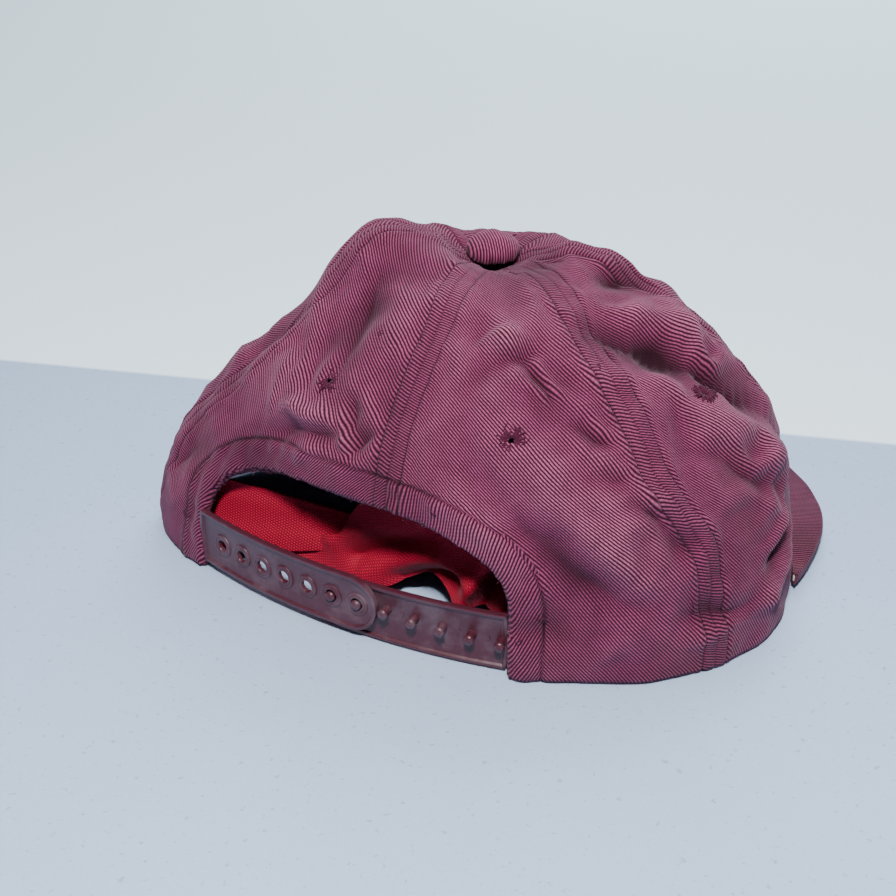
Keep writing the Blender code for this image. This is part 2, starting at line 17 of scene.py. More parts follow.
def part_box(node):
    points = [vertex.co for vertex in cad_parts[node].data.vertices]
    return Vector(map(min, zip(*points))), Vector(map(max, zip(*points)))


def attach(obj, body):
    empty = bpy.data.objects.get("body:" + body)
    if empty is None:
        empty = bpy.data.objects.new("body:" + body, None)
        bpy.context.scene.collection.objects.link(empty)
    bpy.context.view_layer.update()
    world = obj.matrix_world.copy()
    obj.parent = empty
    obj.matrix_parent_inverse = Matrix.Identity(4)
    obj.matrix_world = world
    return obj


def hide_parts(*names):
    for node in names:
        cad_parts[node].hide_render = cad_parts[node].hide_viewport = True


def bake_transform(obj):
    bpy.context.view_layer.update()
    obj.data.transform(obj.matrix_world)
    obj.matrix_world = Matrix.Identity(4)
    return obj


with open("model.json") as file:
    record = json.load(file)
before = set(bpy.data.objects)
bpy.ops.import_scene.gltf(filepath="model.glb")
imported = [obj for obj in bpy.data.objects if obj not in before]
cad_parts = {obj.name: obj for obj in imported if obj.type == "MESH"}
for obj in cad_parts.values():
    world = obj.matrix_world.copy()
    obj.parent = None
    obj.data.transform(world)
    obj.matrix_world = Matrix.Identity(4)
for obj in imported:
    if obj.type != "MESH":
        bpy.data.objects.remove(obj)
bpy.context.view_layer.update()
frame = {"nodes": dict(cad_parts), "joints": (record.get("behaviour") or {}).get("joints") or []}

bl_info = {
    "name": "Six-panel cloth cap",
    "version": (1, 0, 0),
    "blender": (4, 5, 0),
    "location": "3D View > Sidebar > Cap",
    "description": "Builds the cloth, stitching, strap and visor of a soft cap round its frame",
    "category": "Add Mesh",
}

MM = 0.001

# ---- places taken from the frame -------------------------------------------------
HINGES = {joint["name"]: Vector(joint["pos_m"]) for joint in frame["joints"]}
VISOR_HINGE = np.array([-0.022, -0.006, 0.0085])
SHIFT = np.array([HINGES["visor_flex"].x - VISOR_HINGE[0],
                  HINGES["visor_flex"].y - VISOR_HINGE[1], 0.0])

# ---- the crown's form, as in the frame -------------------------------------------
BUTTON_PLACE = (-0.005, -0.004)
CROWN_HEIGHT = 0.104
HEM = [
    (0, 0.009, 0.084, 0.0), (28, -0.047, 0.082, 0.0), (45, -0.082, 0.070, 0.0),
    (60, -0.103, 0.052, 0.0), (75, -0.115, 0.029, 0.0), (90, -0.116, 0.005, 0.002),
    (102, -0.111, -0.010, 0.006), (120, -0.097, -0.027, 0.008), (150, -0.062, -0.045, 0.009),
    (180, -0.022, -0.052, 0.009), (210, 0.018, -0.048, 0.009), (240, 0.052, -0.033, 0.008),
    (257, 0.071, -0.017, 0.006), (270, 0.085, 0.000, 0.003), (285, 0.098, 0.023, 0.0),
    (300, 0.101, 0.045, 0.0), (314, 0.088, 0.062, 0.0), (326, 0.063, 0.0725, 0.0),
]
FULLNESS = [
    (0, 2.45), (30, 2.4), (60, 2.15), (90, 2.15), (120, 2.2), (150, 2.35),
    (180, 2.4), (210, 2.4), (240, 2.2), (270, 1.9), (300, 1.8), (330, 2.0),
]
# the slumps: height, reach, first and last place
SLUMPS = [
    (-0.011, 0.015, (0, 0.0), (0, 0.02)),
    (0.011, 0.019, (318, 0.20), (292, 0.22)),
    (0.002, 0.018, (165, 0.24), (120, 0.22)),
    (0.002, 0.022, (85, 0.70), (100, 0.72)),
    (-0.003, 0.022, (300, 0.50), (285, 0.55)),
]
PANELS = ["back_right", "side_right", "front_right", "front_left", "side_left", "back_left"]
SEAM_NAMES = ["back", "back_right", "front_right", "front", "front_left", "back_left"]
SEAMS = [
    [(0, 14), (0.25, 11), (0.6, 8), (1, 8)],
    [(0, 62), (0.35, 50), (0.6, 52), (0.78, 59), (1, 60)],
    [(0, 117), (0.35, 106), (0.6, 109), (1, 117)],
    [(0, 180), (1, 180)],
    [(0, 240), (0.5, 243), (1, 243)],
    [(0, 303), (0.3, 316), (0.5, 318), (0.8, 308), (1, 303)],
]
ARCH_LEFT, ARCH_RIGHT = -37.0, 28.3
ARCH_TOP, ARCH_SHOULDER, ARCH_SQUARENESS = 0.695, 0.86, 2.6
DEGREES_PER_METRE, SHARE_PER_METRE = 520, 6.2    # for a line beside the opening
ARCH_STEPS, LEG_STEPS = 240, 29

# ---- folds: kind, height mm, width mm, places (angle, way down) -------------------
# A ridge stands up and a valley sinks between soft lips.
FOLDS = [
    # back left panel: hollow under the bulge, star of creases beside the back seam
    ("valley", -4.2, 8.0, [(332, 0.20), (340, 0.32), (347, 0.42), (352, 0.52)]),
    ("ridge", 2.6, 7.0, [(352, 0.20), (357, 0.32), (2, 0.44)]),
    ("valley", -2.8, 3.2, [(331, 0.630), (340, 0.612), (350, 0.596), (358, 0.590)]),
    ("ridge", 2.8, 5.5, [(334, 0.585), (344, 0.565), (354, 0.545)]),
    ("valley", -3.0, 2.2, [(355, 0.50), (359, 0.55), (3, 0.61)]),
    ("valley", -2.2, 1.8, [(5, 0.55), (1, 0.585), (356, 0.62)]),
    ("ridge", 2.0, 3.6, [(346, 0.52), (352, 0.55), (358, 0.58)]),
    ("valley", -2.4, 4.0, [(326, 0.36), (335, 0.46), (341, 0.56)]),
    ("ridge", 2.6, 6.0, [(322, 0.44), (330, 0.54), (335, 0.62)]),
    ("valley", -2.2, 5.0, [(318, 0.74), (313, 0.80), (308, 0.84)]),
    ("valley", -2.6, 5.0, [(318, 0.36), (313, 0.50), (318, 0.66)]),
    # back right panel: puckers along the seam, long drags down to the right
    ("ridge", 2.4, 4.0, [(20, 0.41), (27, 0.375), (35, 0.32)]),
    ("valley", -3.2, 2.6, [(18, 0.47), (25, 0.41), (31, 0.380), (38, 0.36)]),
    ("valley", -2.4, 2.0, [(31, 0.37), (34, 0.42), (38, 0.48)]),
    ("ridge", 1.8, 3.0, [(36, 0.42), (41, 0.47), (46, 0.50)]),
    ("valley", -2.4, 2.2, [(38, 0.50), (43, 0.54), (48, 0.56)]),
    ("valley", -2.0, 2.2, [(37, 0.59), (43, 0.62), (49, 0.63)]),
    ("ridge", 3.4, 8.5, [(23, 0.44), (31, 0.54), (38, 0.66), (46, 0.77), (56, 0.84)]),
    ("valley", -3.0, 4.6, [(24, 0.60), (32, 0.71), (40, 0.80), (50, 0.87)]),
    ("ridge", 2.4, 7.0, [(14, 0.56), (22, 0.68), (30, 0.80), (36, 0.88)]),
    ("valley", -2.2, 4.0, [(16, 0.30), (22, 0.36), (24, 0.44)]),
    ("valley", -3.0, 3.4, [(44, 0.63), (52, 0.71), (58, 0.80)]),
    # side right panel: a long curved hollow and the belly above the visor's corner
    ("valley", -4.6, 7.0, [(42, 0.24), (54, 0.34), (70, 0.42), (83, 0.52), (95, 0.66), (104, 0.80)]),
    ("ridge", 3.0, 7.0, [(56, 0.27), (76, 0.33), (92, 0.42), (103, 0.56)]),
    ("valley", -3.0, 5.0, [(70, 0.20), (92, 0.26), (107, 0.34), (116, 0.46)]),
    ("ridge", 2.8, 7.0, [(60, 0.46), (73, 0.56), (86, 0.67), (94, 0.77)]),
    ("valley", -2.6, 3.4, [(60, 0.57), (70, 0.65), (82, 0.74), (89, 0.81)]),
    ("valley", -4.0, 3.4, [(68, 0.875), (77, 0.850), (86, 0.825), (93, 0.80)]),
    ("ridge", 2.6, 5.0, [(64, 0.92), (76, 0.905), (90, 0.89)]),
    ("valley", -2.4, 3.0, [(53, 0.86), (60, 0.885), (70, 0.90)]),
    # the front and the left side
    ("valley", -3.2, 6.0, [(292, 0.38), (286, 0.52), (290, 0.68), (296, 0.82)]),
    ("ridge", 2.8, 7.5, [(278, 0.34), (272, 0.50), (276, 0.66)]),
    ("valley", -3.2, 5.0, [(262, 0.46), (268, 0.62), (264, 0.80)]),
    ("ridge", 2.2, 6.0, [(250, 0.30), (246, 0.46), (252, 0.60)]),
    ("valley", -2.8, 5.0, [(228, 0.40), (220, 0.55), (226, 0.72)]),
    ("ridge", 2.2, 7.0, [(206, 0.36), (200, 0.52), (206, 0.68)]),
    ("valley", -2.8, 5.0, [(190, 0.26), (196, 0.40), (190, 0.56)]),
    ("ridge", 2.2, 6.6, [(170, 0.44), (160, 0.58), (166, 0.76)]),
    ("valley", -2.8, 5.0, [(132, 0.46), (138, 0.62), (130, 0.80)]),
    ("ridge", 2.2, 5.6, [(122, 0.34), (130, 0.44), (126, 0.58)]),
    ("valley", -2.4, 4.0, [(112, 0.70), (118, 0.80), (114, 0.90)]),
]

# ---- cloth and sewing ----------------------------------------------------------------
CLOTH = 0.00075
SEAM_LINE = 0.0043                   # topstitching on each side of a seam
HEM_ROLL = 0.0013                    # how round the folded edge is
FACING_WIDTH = 0.0112
FACING_STITCH = 0.0102
ROOT_ROWS = [(ARCH_LEFT, -0.0028), (ARCH_LEFT, -0.0056), (ARCH_RIGHT, 0.0028), (ARCH_RIGHT, 0.0060)]
EYELET_STITCHES, EYELET_HOLE = 40, 0.0011
EYELETS = [(29, 0.54), (73, 0.52), (143, 0.51), (212, 0.51), (280, 0.51), (346, 0.49)]
THREAD = 0.00027
STITCH, STITCH_GAP = 0.0023, 0.0009
TWILL_SLOPES = {"back_right": -50, "side_right": -62, "front_right": -40, "front_left": 40,
                "side_left": 35, "back_left": -38}   # degrees from level in each panel
SEAM_OFFSETS = np.array([0.0, 0.25, 0.5, 0.9, 1.5, 2.2, 3.0, 3.6, 4.0, 4.3, 4.6, 5.0, 5.7, 6.6, 7.6]) * MM
CELL = 0.0009
BUTTON_RADIUS = 0.0088

# ---- strap, as in the frame -------------------------------------------------------------
LEFT_ROOT, RIGHT_ROOT = np.array([0.063, 0.0725]), np.array([-0.047, 0.082])
STRAP_TURN = math.radians(28)
STRAP_HEIGHT, PITCH, PEGS = 0.020, 0.0095, 7
WEB, RIM, RIM_WIDTH = 0.0012, 0.0008, 0.0015
HOLE_RADIUS, RING_RADIUS = 0.0021, 0.0034
PEG_RADIUS, PEG_HEAD, PEG_LENGTH = 0.00125, 0.00165, 0.0042
LEFT_WEB_FACE, STACK_GAP = -0.0006, 0.00035
LEFT_START, ROOT_HIDDEN = -0.0052, -0.001
FIRST_HOLE, TIP_REACH = 0.0047, 0.0072
LEFT_STRAP_LIFT, RIGHT_STRAP_LIFT = 0.003, 0.0004
CHORD = RIGHT_ROOT - LEFT_ROOT
STRAP_RADIUS = np.linalg.norm(CHORD) / 2 / math.sin(STRAP_TURN / 2)
STRAP_CENTRE = ((LEFT_ROOT + RIGHT_ROOT) / 2 - np.array([CHORD[1], -CHORD[0]]) / np.linalg.norm(CHORD)
                * STRAP_RADIUS * math.cos(STRAP_TURN / 2))
STRAP_START = math.atan2(*(LEFT_ROOT - STRAP_CENTRE)[::-1])
STRAP_ARC = STRAP_RADIUS * STRAP_TURN
STRAP_SLOPE = -CHORD[1] / CHORD[0]

# ---- visor, as in the frame -------------------------------------------------------------
VISOR_MIDDLE_X, VISOR_WAIST_Y = -0.022, -0.025
VISOR_HALF_WIDTH, VISOR_REACH, VISOR_SIDE_REACH = 0.0985, 0.079, 0.110
VISOR_HEM, VISOR_TURN = (93, 259), (166, 366)
VISOR_ROOT_LOW, VISOR_TIP_Z, VISOR_LEVEL_WIDTH = 0.0045, 0.0026, 0.030
VISOR_BOARD, VISOR_GAP, VISOR_CLEAR = 0.0018, 0.0003, 0.0012
VISOR_ROLL = 0.024                   # share of the way out that rolls over the board's edge

# ---- sweatband --------------------------------------------------------------------------
BAND_ANGLES = (37, 319)
BAND_TOP, BAND_BOTTOM, BAND_WIDTH = 0.80, 0.985, 0.036
# each loose end, in mm: its edges as (x, z), its depth behind the strap below and above,
# and its folds as rise, width and places
RIGHT_TAIL = {
    "lower": [(52, 6.4), (46, 5), (39, 4.5), (31, 4.4), (24, 4.6), (12, 5), (8, 7), (3, 10.5), (-1, 13),
              (-5, 12.5), (-12, 9), (-26, 8.6), (-36, 12), (-46, 14)],
    "upper": [(52, 10.4), (44, 14), (36, 17), (30, 20), (26, 29), (20, 37), (0, 42), (-22, 42), (-46, 38)],
    "depth": (15.5, 18.5),
    "folds": [(2.5, 4.5, [(34, 16), (22, 25), (10, 30), (0, 33)]),
              (-5.5, 4.0, [(24, 12), (14, 18), (4, 23), (-4, 26)]),
              (3.0, 4.6, [(22, 9), (12, 16), (2, 20), (-8, 23), (-17, 20)]),
              (-6.0, 4.0, [(8, 8), (-2, 14), (-12, 15)]),
              (6.0, 3.2, [(-15, 8), (-21, 20), (-30, 36)]),
              (-5.0, 3.6, [(-22, 10), (-27, 22), (-36, 34)])]}
LEFT_TAIL = {
    "lower": [(28, 13), (36, 12), (41, 11.5), (52, 7.5), (64, 4.5), (79, 2), (84, 3)],
    "upper": [(28, 24), (36, 23), (50, 21.5), (65, 20), (74, 21), (84, 23)],
    "depth": (20.5, 23),
    "folds": [(3.0, 5.0, [(40, 20), (56, 17), (74, 15)]), (-2.6, 4.0, [(38, 14), (54, 11), (72, 8)])]}
# loose thread ends: angle, way down, length, heading
LOOSE_ENDS = [(14, 0.672, 0.007, 2.7), (357, 0.40, 0.006, 1.2),
              (30, 0.88, 0.009, 2.2), (29.5, 0.93, 0.006, 1.0),
              (321, 0.90, 0.006, -0.6), (9, 0.38, 0.005, 0.4), (47, 0.40, 0.005, 3.9), (56, 0.84, 0.004, 5.0)]
FUZZ_COUNT = 260
LOWEST = 0.0006                      # the cloth stops this far over the floor
COARSE = 0.0018                      # cell size on the front and side left panels

# ---- stage ------------------------------------------------------------------------------
CAMERA_PLACE, CAMERA_LENS = (-0.1584, 0.3702, 0.254), 52.1
CAMERA_LEVEL, CAMERA_PITCH = (0.413, -0.911, 0), math.radians(29.5)
PAPER_SLOPE, PAPER_EDGE = 0.227, -0.0775    # the floor is brighter beyond this line
# lights: place, size, power, tint and what they point at
LIGHTS = {
    "key": ((-0.15, 0.43, 0.58), 0.07, 9.2, (1.0, 0.98, 0.97), (0, 0, 0.05)),
    "sky": ((0.0, -0.1, 1.7), 1.3, 11.0, (0.86, 0.93, 1.0), (0, 0, 0.05)),
    "back_glow": ((0.2, -1.5, 1.3), 1.4, 48.0, (0.80, 0.92, 1.0), (0, -1.2, 0)),
}
WORLD_TINT, WORLD_STRENGTH = (0.75, 0.84, 0.93, 1), 0.20


class CapSizes(bpy.types.PropertyGroup):
    """Sizes that shape the cloth and its sewing."""
    fold_strength: bpy.props.FloatProperty(
        name="Fold strength", description="How deep the folds of the crown are", default=1.1, min=0, max=2)
    twill_pitch: bpy.props.FloatProperty(
        name="Twill pitch", description="From one diagonal rib to the next",
        default=0.00088, precision=5, unit="LENGTH")
    pucker: bpy.props.FloatProperty(
        name="Seam pucker", description="Height of the small ripples along the stitching",
        default=0.00034, precision=5, unit="LENGTH")


class CapColours(bpy.types.PropertyGroup):
    """Colours of the cap's cloth, thread and plastic."""
    rib: bpy.props.FloatVectorProperty(
        name="Twill rib", description="Raised yarns of the twill", subtype="COLOR", size=3,
        default=(0.235, 0.042, 0.110))
    # the twill gap colour is painted shade in the grooves between the ribs
    gap: bpy.props.FloatVectorProperty(
        name="Twill gap", description="Ground between the ribs", subtype="COLOR", size=3,
        default=(0.022, 0.0010, 0.0075))
    faded: bpy.props.FloatVectorProperty(
        name="Faded twill", description="Where the sun and wear have browned the cloth", subtype="COLOR",
        size=3, default=(0.205, 0.052, 0.074))
    crest: bpy.props.FloatVectorProperty(
        name="Worn crests", description="Twill rubbed pale on the tops of the folds", subtype="COLOR",
        size=3, default=(0.38, 0.106, 0.192))
    thread: bpy.props.FloatVectorProperty(
        name="Thread", description="Topstitching and eyelets", subtype="COLOR", size=3,
        default=(0.035, 0.003, 0.014))
    band: bpy.props.FloatVectorProperty(
        name="Sweatband", description="Red woven band", subtype="COLOR", size=3,
        default=(0.47, 0.0018, 0.034))
    plastic: bpy.props.FloatVectorProperty(
        name="Strap", description="Moulded strap", subtype="COLOR", size=3, default=(0.052, 0.009, 0.018))
    bloom: bpy.props.FloatVectorProperty(
        name="Strap bloom", description="Greyish bloom on the strap", subtype="COLOR", size=3,
        default=(0.105, 0.062, 0.080))


# ---- crown form ------------------------------------------------------------------------
def round_the_crown(stations, angle):
    """Smooth closed curve through (angle, values...) stations."""
    table = np.array(stations, float)
    keys = np.concatenate([table[-2:, 0] - 360, table[:, 0], table[:2, 0] + 360])
    values = np.vstack([table[-2:, 1:], table[:, 1:], table[:2, 1:]])
    slope = np.zeros_like(values)
    slope[1:-1] = (values[2:] - values[:-2]) / (keys[2:] - keys[:-2])[:, None]
    angle = np.mod(np.asarray(angle, float), 360)
    i = np.clip(np.searchsorted(keys, angle, side="right") - 1, 1, len(keys) - 3)
    step = (keys[i + 1] - keys[i])[..., None]
    u = (angle - keys[i])[..., None] / step
    return ((2 * u**3 - 3 * u**2 + 1) * values[i] + (u**3 - 2 * u**2 + u) * step * slope[i]
            + (3 * u**2 - 2 * u**3) * values[i + 1] + (u**3 - u**2) * step * slope[i + 1])


def smooth_line(places, steps):
    """Points along a smooth curve through a few places."""
    table = np.array(places, float)
    if table[:, 0].max() - table[:, 0].min() > 180:
        table[:, 0] = np.where(table[:, 0] < 180, table[:, 0] + 360, table[:, 0])
    guard = np.vstack([2 * table[0] - table[1], table, 2 * table[-1] - table[-2]])
    at = np.linspace(0, len(table) - 1, steps)
    i = np.minimum(at.astype(int), len(table) - 2)
    u = (at - i)[:, None]
    a, b, c, d = guard[i], guard[i + 1], guard[i + 2], guard[i + 3]
    return 0.5 * (2 * b + (c - a) * u + (2 * a - 5 * b + 4 * c - d) * u**2 + (3 * b - a - 3 * c + d) * u**3)


class Crown:
    """The crown as a table of points over angle and way down, read by interpolation."""
    ANGLES, DOWNS = 900, 301

    def __init__(self, fold_strength):
        self.angles = np.arange(self.ANGLES) * 360 / self.ANGLES
        self.downs = np.linspace(0, 1, self.DOWNS)
        self.points = self.dome()
        self.normals = self.find_normals(self.points)
        smooth = self.points
        for height, reach, first, last in SLUMPS:
            line = np.linspace(first, last, 12)
            spots = self.look(smooth, line[:, 0], line[:, 1])
            near = self.nearest(smooth.reshape(-1, 3), spots)[0].reshape(self.ANGLES, self.DOWNS)
            self.points = self.points + self.normals * (height * np.exp(-(near / reach) ** 2))[..., None]
        self.normals = self.find_normals(self.points)
        self.form = self.points
        # fold heights kept for the colour: paler worn crests and painted shade in the valleys
        self.wear_and_shade = self.fold(fold_strength)
        self.normals = self.find_normals(self.points)

    def dome(self):
        hem = round_the_crown(HEM, self.angles)
        hem[:, 2] = np.maximum(hem[:, 2], 0)
        power = 2 / round_the_crown(FULLNESS, self.angles)
        swing = np.linspace(0, math.pi / 2, 120)
        across = hem[:, :2] - np.array(BUTTON_PLACE)
        out = np.linalg.norm(across, axis=1)[:, None] * np.sin(swing) ** power
        up = (CROWN_HEIGHT - hem[:, 2:]) * np.clip(np.cos(swing), 0, 1) ** power
        table = np.empty((self.ANGLES, self.DOWNS, 3))
        for row in range(self.ANGLES):
            travel = np.concatenate([[0], np.cumsum(np.hypot(np.diff(out[row]), np.diff(up[row])))])
            reach = np.interp(self.downs, travel / travel[-1], out[row])
            way = across[row] / np.linalg.norm(across[row])
            table[row, :, 0] = BUTTON_PLACE[0] + way[0] * reach
            table[row, :, 1] = BUTTON_PLACE[1] + way[1] * reach
            table[row, :, 2] = hem[row, 2] + np.interp(self.downs, travel / travel[-1], up[row])
        return table + SHIFT

    def find_normals(self, points):
        around = np.roll(points, -2, 0) - np.roll(points, 2, 0)
        along = np.gradient(points, axis=1)
        normal = np.cross(along, around)
        normal[:, :4] = normal[:, 4:5].mean(0)
        length = np.linalg.norm(normal, axis=-1, keepdims=True)
        return normal / np.maximum(length, 1e-12)

    def look(self, table, angle, down):
        """Bilinear reading of a table at any angle and way down."""
        angle, down = np.broadcast_arrays(np.asarray(angle, float), np.asarray(down, float))
        a = np.mod(angle, 360) / 360 * self.ANGLES
        d = np.clip(down, 0, 1) * (self.DOWNS - 1)
        i, j = np.floor(a).astype(int) % self.ANGLES, np.minimum(np.floor(d).astype(int), self.DOWNS - 2)
        u, v = a - np.floor(a), d - j
        k = (i + 1) % self.ANGLES
        if table.ndim == 3:
            u, v = u[..., None], v[..., None]
        return ((table[i, j] * (1 - u) + table[k, j] * u) * (1 - v)
                + (table[i, j + 1] * (1 - u) + table[k, j + 1] * u) * v)

    @staticmethod
    def nearest(points, line):
        """Distance from each point to the nearest point of a line, and which one it is."""
        best = np.full(len(points), 1e9)
        which = np.zeros(len(points), int)
        for number, spot in enumerate(line):
            far = ((points - spot) ** 2).sum(1)
            closer = far < best
            best[closer], which[closer] = far[closer], number
        return np.sqrt(best), which

    def fold(self, strength):
        """Raise the ridges and sink the valleys; returns the fold height as a share, which pales the worn
        crests and paints shade into the valleys.
        """
        flat = self.form.reshape(-1, 3)
        rise = np.zeros(len(flat))
        for kind, height, width, places in FOLDS:
            path = smooth_line(places, 36)
            line = self.look(self.form, path[:, 0], path[:, 1])
            reach = 5 * width * MM
            low, high = line.min(0) - reach, line.max(0) + reach
            inside = np.flatnonzero(((flat > low) & (flat < high)).all(1))
            spread = 1 + 0.30 * ripple(flat[inside], 0.024, 31)
            wander = np.stack([ripple(flat[inside], 0.022, seed) for seed in (32, 33, 34)], 1)
            near, which = self.nearest(flat[inside] + 0.0012 * wander, line)
            share = which / (len(line) - 1)
            fade = np.clip(np.minimum(share, 1 - share) / 0.4, 0, 1)
            fade = fade * fade * (3 - 2 * fade)
            s = near / (width * MM * spread)
            if kind == "valley":
                shape = np.exp(-s**1.3) - 0.42 * np.exp(-((s - 2.0) / 0.9) ** 2)
            else:
                shape = np.exp(-s**1.5)
            rise[inside] += height * MM * shape * fade
        rise += self.crumple(flat)
        rise *= strength
        rise = rise.reshape(self.ANGLES, self.DOWNS)
        calm = np.clip(self.downs / 0.12, 0, 1) * np.clip((1 - self.downs) / 0.10, 0.12, 1)
        self.points = self.form + self.normals * (rise * calm)[..., None]
        return rise / 0.0028

    @staticmethod
    def crumple(points):
        """Soft creases all over, as in cotton that was washed and left to dry."""
        warped = points + 0.004 * np.stack([ripple(points, 0.045, seed) for seed in (36, 37, 38)], 1)
        broad = np.abs(ripple(warped, 0.058, 39))
        fine = np.abs(ripple(warped * np.array([1.0, 1.0, 0.72]), 0.030, 40))
        return (0.0021 * (0.45 - np.sqrt(broad * broad + 0.003))
                + 0.0010 * (0.45 - np.sqrt(fine * fine + 0.004)))

    def at(self, angle, down, inset=0.0):
        """A point of the folded crown, inset along its normal."""
        inset = np.asarray(inset, float)
        if inset.ndim:
            inset = inset[..., None]
        return self.look(self.points, angle, down) - self.normal(angle, down) * inset

    def normal(self, angle, down):
        normal = self.look(self.normals, angle, down)
        return normal / np.maximum(np.linalg.norm(normal, axis=-1, keepdims=True), 1e-9)

    def degree_length(self, angle, down):
        """Metres of the unfolded form to one degree."""
        return np.linalg.norm(self.look(self.form, angle + 0.5, down)
                              - self.look(self.form, angle - 0.5, down), axis=-1)

    def hem_distance(self, angle, down):
        return np.linalg.norm(self.look(self.form, angle, down)
                              - self.look(self.form, angle, 1.0), axis=-1)


def seam_angle(seam, down):
    table = np.array(SEAMS[seam % 6], float)
    down = np.asarray(down, float)
    i = np.clip(np.searchsorted(table[:, 0], down, side="right") - 1, 0, len(table) - 2)
    u = np.clip((down - table[i, 0]) / (table[i + 1, 0] - table[i, 0]), 0, 1)
    u = u * u * (3 - 2 * u)
    return table[i, 1] * (1 - u) + table[i + 1, 1] * u


def panel_edges(panel, down):
    first, last = seam_angle(panel, down), seam_angle(panel + 1, down)
    return first, np.where(last < first, last + 360, last)


def arch_outline(grow=0.0):
    """Angle and way down along the back opening, left to right, or that many metres outside it."""
    turn = np.linspace(math.pi, 0, ARCH_STEPS)
    power = 2 / ARCH_SQUARENESS
    side = np.sign(np.cos(turn)) * np.abs(np.cos(turn)) ** power
    side = np.concatenate([np.full(LEG_STEPS, side[0]), side, np.full(LEG_STEPS, side[-1])])
    rise = np.pad(np.abs(np.sin(turn)) ** power, LEG_STEPS)
    leg = np.linspace(1.0, ARCH_SHOULDER, LEG_STEPS + 1)[:-1]
    low = np.concatenate([leg, np.full(ARCH_STEPS, ARCH_SHOULDER), leg[::-1]])
    half = (ARCH_RIGHT - ARCH_LEFT) / 2 + DEGREES_PER_METRE * grow
    angle = (ARCH_RIGHT + ARCH_LEFT) / 2 + side * half
    return angle, low - rise * (ARCH_SHOULDER - ARCH_TOP + SHARE_PER_METRE * grow)


def inside_arch(angle, down):
    """Whether a place lies in the back opening."""
    away = (np.mod(np.asarray(angle) + 180, 360) - 180) - (ARCH_RIGHT + ARCH_LEFT) / 2
    side = np.abs(away) / ((ARCH_RIGHT - ARCH_LEFT) / 2)
    rise = np.clip((ARCH_SHOULDER - down) / (ARCH_SHOULDER - ARCH_TOP), 0, None)
    return side**ARCH_SQUARENESS + rise**ARCH_SQUARENESS < 1


def ripple(points, size, seed):
    """Soft repeatable noise made of a few waves, about -1 to 1."""
    random = np.random.default_rng(seed)
    total = np.zeros(points.shape[:-1])
    for _ in range(7):
        way = random.normal(size=3)
        way /= np.linalg.norm(way)
        length = size * random.uniform(0.6, 1.6)
        total += np.sin(points @ way * 2 * math.pi / length + random.uniform(0, 6.3))
    return total / 3.2


# ---- mesh helpers -----------------------------------------------------------------------
def unit(vectors):
    return vectors / np.linalg.norm(vectors, axis=-1, keepdims=True)


def run_length(points):
    """Metres from the first point of a line to each of its points."""
    return np.concatenate([[0], np.cumsum(np.linalg.norm(np.diff(points, axis=0), axis=1))])


def read_spots(mesh):
    """The mesh's points as rows."""
    spots = np.empty(len(mesh.vertices) * 3)
    mesh.vertices.foreach_get("co", spots)
    return spots.reshape(-1, 3)


def lay_uvs(mesh, uvs):
    """Give the mesh its own cloth UV map from one place for each point."""
    layer = mesh.uv_layers.new(name="cloth")
    loops = np.zeros(len(mesh.loops), int)
    mesh.loops.foreach_get("vertex_index", loops)
    layer.data.foreach_set("uv", np.asarray(uvs, np.float32)[loops].ravel())


# the attribute holds paler worn crests above zero and painted shade below zero; on the strap it holds where
# the bloom gathers
def mark_wear_and_shade(mesh, wear_and_shade):
    mesh.attributes.new("wear_and_shade", "FLOAT", "POINT").data.foreach_set("value", np.asarray(wear_and_shade, np.float32))


def deselect():
    for item in bpy.context.selected_objects:
        item.select_set(False)


def make_piece(name, verts, faces, look, uvs=None, wear_and_shade=None):
    """A mesh piece from points and faces, with its own UV map and an attribute for worn crests and painted
    shade.
    """
    mesh = bpy.data.meshes.new(name)
    mesh.from_pydata(np.asarray(verts).tolist(), [], [list(map(int, face)) for face in faces])
    if uvs is not None:
        lay_uvs(mesh, uvs)
    if wear_and_shade is not None:
        mark_wear_and_shade(mesh, wear_and_shade)
    mesh.shade_smooth()
    mesh.materials.append(look)
    piece = bpy.data.objects.new(name, mesh)
    bpy.context.scene.collection.objects.link(piece)
    return piece


def activate(piece):
    deselect()
    bpy.context.view_layer.objects.active = piece
    piece.select_set(True)


def apply_modifier(piece, kind, **settings):
    activate(piece)
    modifier = piece.modifiers.new(kind.lower(), kind)
    for key, value in settings.items():
        setattr(modifier, key, value)
    bpy.ops.object.modifier_apply(modifier=modifier.name)


def grid_faces(rows, columns, closed=False):
    faces = []
    for r in range(rows - 1):
        for c in range(columns if closed else columns - 1):
            d = (c + 1) % columns
            faces.append((r * columns + c, r * columns + d, (r + 1) * columns + d, (r + 1) * columns + c))
    return faces


def tube(points, radius, sides=6, normal=None):
    """Points and faces of a closed tube along a path; radius may vary."""
    points = np.asarray(points, float)
    way = np.gradient(points, axis=0)
    way /= np.maximum(np.linalg.norm(way, axis=1, keepdims=True), 1e-12)
    up = np.tile([0.0, 0.0, 1.0], (len(points), 1)) if normal is None else np.asarray(normal, float)
    side = np.cross(way, up)
    weak = np.linalg.norm(side, axis=1) < 1e-3
    side[weak] = np.cross(way[weak], [1.0, 0.2, 0.0])
    side /= np.linalg.norm(side, axis=1, keepdims=True)
    up = np.cross(side, way)
    radius = np.broadcast_to(radius, (len(points),))
    turn = np.arange(sides) * 2 * math.pi / sides
    ring = (side[:, None] * np.cos(turn)[None, :, None] + up[:, None] * np.sin(turn)[None, :, None])
    verts = (points[:, None] + ring * radius[:, None, None]).reshape(-1, 3)
    faces = [tuple(reversed(face)) for face in grid_faces(len(points), sides, True)]
    last = (len(points) - 1) * sides
    faces += [tuple(range(sides)), tuple(last + k for k in reversed(range(sides)))]
    return verts, faces


